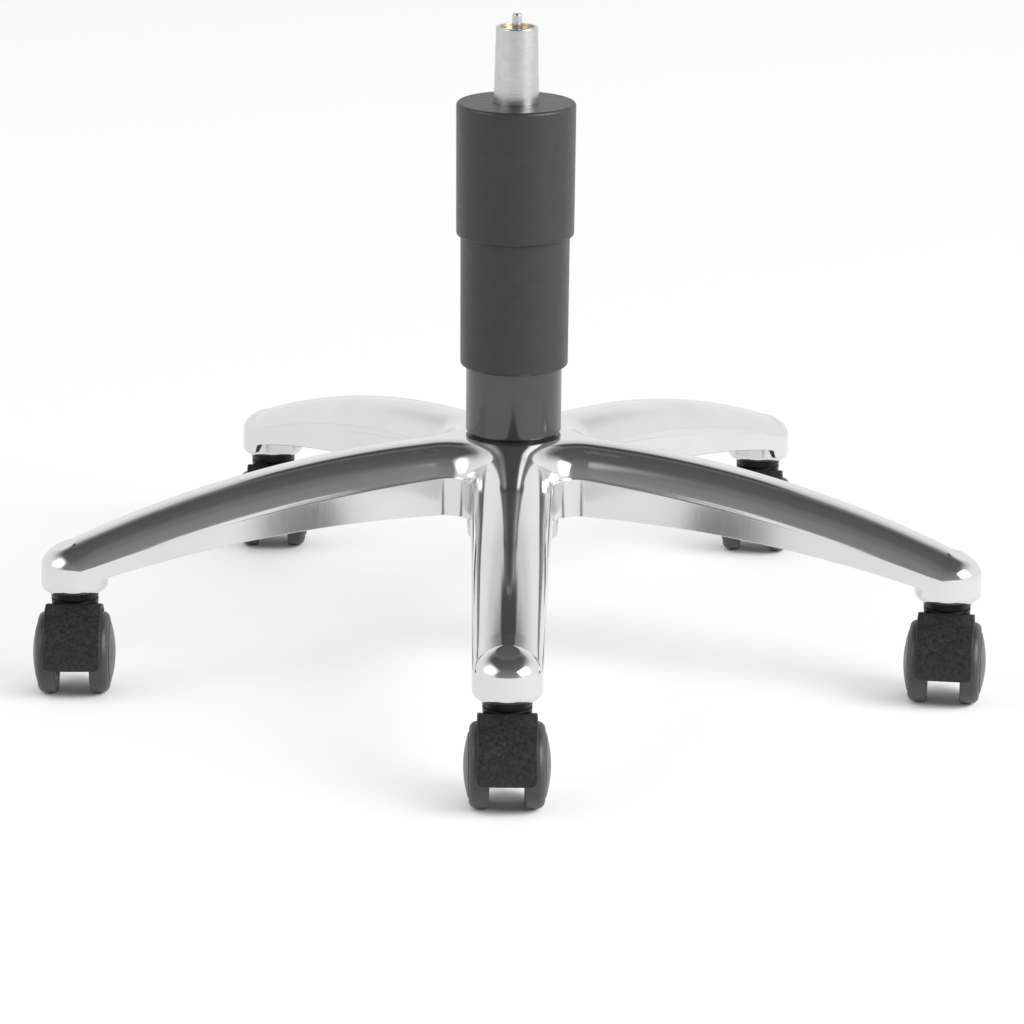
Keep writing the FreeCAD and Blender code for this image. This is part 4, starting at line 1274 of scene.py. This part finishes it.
def make_floor():
    """Pale paper that glows white for camera and mirrored rays where nothing stands near it. Ambient occlusion
    fades that glow near objects, which paints shade under and between them, and the lamps' own shadows stay.
    """
    mesh = bpy.data.meshes.new("floor")
    half = FLOOR_SIZE / 2
    corners = [(-half, -half, 0), (half, -half, 0), (half, half, 0), (-half, half, 0)]
    mesh.from_pydata(corners, [], [(0, 1, 2, 3)])
    floor = bpy.data.objects.new("floor", mesh)
    bpy.context.scene.collection.objects.link(floor)
    paper = bpy.data.materials.new("floor_paper")
    paper.use_nodes = True
    tree = paper.node_tree
    tree.nodes.clear()
    diffuse = tree.nodes.new("ShaderNodeBsdfDiffuse")
    diffuse.inputs["Color"].default_value = (*FLOOR_COLOUR, 1)
    glow = tree.nodes.new("ShaderNodeEmission")
    glow.inputs["Strength"].default_value = 1.0
    mix = tree.nodes.new("ShaderNodeMixShader")
    # Painted shade: ambient occlusion takes the glow away near objects, so the floor darkens under and between
    # them
    painted_shade_occlusion = tree.nodes.new("ShaderNodeAmbientOcclusion")
    painted_shade_occlusion.inputs["Distance"].default_value = FLOOR_PAINTED_SHADE_REACH
    level = ranged(tree, painted_shade_occlusion.outputs["AO"], FLOOR_PAINTED_SHADE_RANGE, 0.0, FLOOR_GLOW)
    out = tree.nodes.new("ShaderNodeOutputMaterial")
    share = math_node(tree, "MULTIPLY", seen_directly(tree), level)
    tree.links.new(share, mix.inputs["Fac"])
    tree.links.new(diffuse.outputs[0], mix.inputs[1])
    tree.links.new(glow.outputs[0], mix.inputs[2])
    tree.links.new(mix.outputs[0], out.inputs["Surface"])
    mesh.materials.append(paper)


def seen_directly(tree):
    """1 for rays from the camera and for mirrored or transmitted ones, and 0 for the rest."""
    path = tree.nodes.new("ShaderNodeLightPath")
    total = path.outputs["Is Camera Ray"]
    for name in ("Is Glossy Ray", "Is Transmission Ray"):
        total = math_node(tree, "MAXIMUM", total, path.outputs[name])
    return total


def make_world():
    """White studio with a darker room on the camera's side, which the polished metal mirrors."""
    world = bpy.data.worlds.new("studio")
    bpy.context.scene.world = world
    world.use_nodes = True
    tree = world.node_tree
    background = tree.nodes["Background"]

    coords = tree.nodes.new("ShaderNodeTexCoord")
    split = tree.nodes.new("ShaderNodeSeparateXYZ")
    tree.links.new(coords.outputs["Generated"], split.inputs[0])
    x, y, z = split.outputs
    over = math_node(tree, "ARCTAN2", z, math_node(tree, "MULTIPLY", y, -1.0))
    tones = tree.nodes.new("ShaderNodeValToRGB")
    tones.color_ramp.interpolation = "EASE"
    stops = tones.color_ramp.elements
    stops.remove(stops[1])
    for k, (angle_deg, tone) in enumerate(ROOM_TONES):
        stop = stops.new(angle_deg / 180) if k else stops[0]
        stop.color = (*grey(tone), 1)
    tree.links.new(math_node(tree, "DIVIDE", over, math.pi), tones.inputs[0])
    aside = math_node(tree, "ABSOLUTE", x)
    within_side = math_node(tree, "SUBTRACT", 1.0, rise(tree, aside, OVERHEAD_SIDE))
    before_end = math_node(tree, "SUBTRACT", 1.0, rise(tree, over, OVERHEAD_END))
    along = math_node(tree, "MULTIPLY", rise(tree, over, OVERHEAD_START), before_end)
    overhead = math_node(tree, "MULTIPLY", within_side, along)
    path = tree.nodes.new("ShaderNodeLightPath")
    white = math_node(tree, "MAXIMUM", rise(tree, aside, ROOM_SIDE), path.outputs["Is Camera Ray"])
    room = mixed(tree, overhead, tones.outputs["Color"], OVERHEAD_TONE)
    tree.links.new(mixed(tree, white, room, 1.0), background.inputs["Color"])


def soften_edges(lamp, width):
    """Let a lamp's brightness fall off towards its edges, as the cloth of a softbox does."""
    lamp.use_nodes = True
    tree = lamp.node_tree
    place = tree.nodes.new("ShaderNodeNewGeometry")
    split = tree.nodes.new("ShaderNodeSeparateXYZ")
    tree.links.new(place.outputs["Parametric"], split.inputs[0])
    shares = []
    for axis in ("X", "Y"):
        from_edge = math_node(tree, "PINGPONG", split.outputs[axis], 0.5)
        shares.append(rise(tree, from_edge, (0.0, width)))
    inside = math_node(tree, "MULTIPLY", *shares)
    tree.links.new(inside, tree.nodes["Emission"].inputs["Strength"])


def make_softbox(name, azimuth_deg, elevation_deg, distance, size, radiance, edge):
    """Square lamp facing the base, at an angle to the right of the camera's side and above the floor."""
    azimuth = math.radians(azimuth_deg)
    elevation = math.radians(elevation_deg)
    way = Vector(
        (
            math.sin(azimuth) * math.cos(elevation),
            -math.cos(azimuth) * math.cos(elevation),
            math.sin(elevation),
        )
    )
    lamp = bpy.data.lights.new(name, "AREA")
    lamp.shape = "SQUARE"
    lamp.size = size
    lamp.energy = radiance * math.pi * size ** 2
    soften_edges(lamp, edge)
    box_object = bpy.data.objects.new(name, lamp)
    bpy.context.scene.collection.objects.link(box_object)
    box_object.location = way * distance
    box_object.rotation_euler = way.to_track_quat("Z", "Y").to_euler()


def make_camera():
    camera = bpy.data.objects.new("camera", bpy.data.cameras.new("camera"))
    bpy.context.scene.collection.objects.link(camera)
    camera.data.lens = LENS
    camera.data.sensor_width = SENSOR
    tilt = Matrix.Rotation(math.pi / 2 - CAMERA_PITCH, 4, "X") @ Matrix.Rotation(CAMERA_ROLL, 4, "Z")
    turn = Matrix.Rotation(CAMERA_YAW, 4, "Z")
    camera.matrix_world = turn @ Matrix.Translation(CAMERA_PLACE) @ tilt
    bpy.context.scene.camera = camera


TRAIL = castor_trail()
dress_hidden_nodes()
make_star_base()
make_sleeves()
make_lift()
make_castors()
make_floor()
make_world()
make_softbox("key_softbox", *KEY_LIGHT)
make_softbox("fill_softbox", *FILL_LIGHT)
make_camera()
bpy.context.scene.view_settings.view_transform = "Standard"
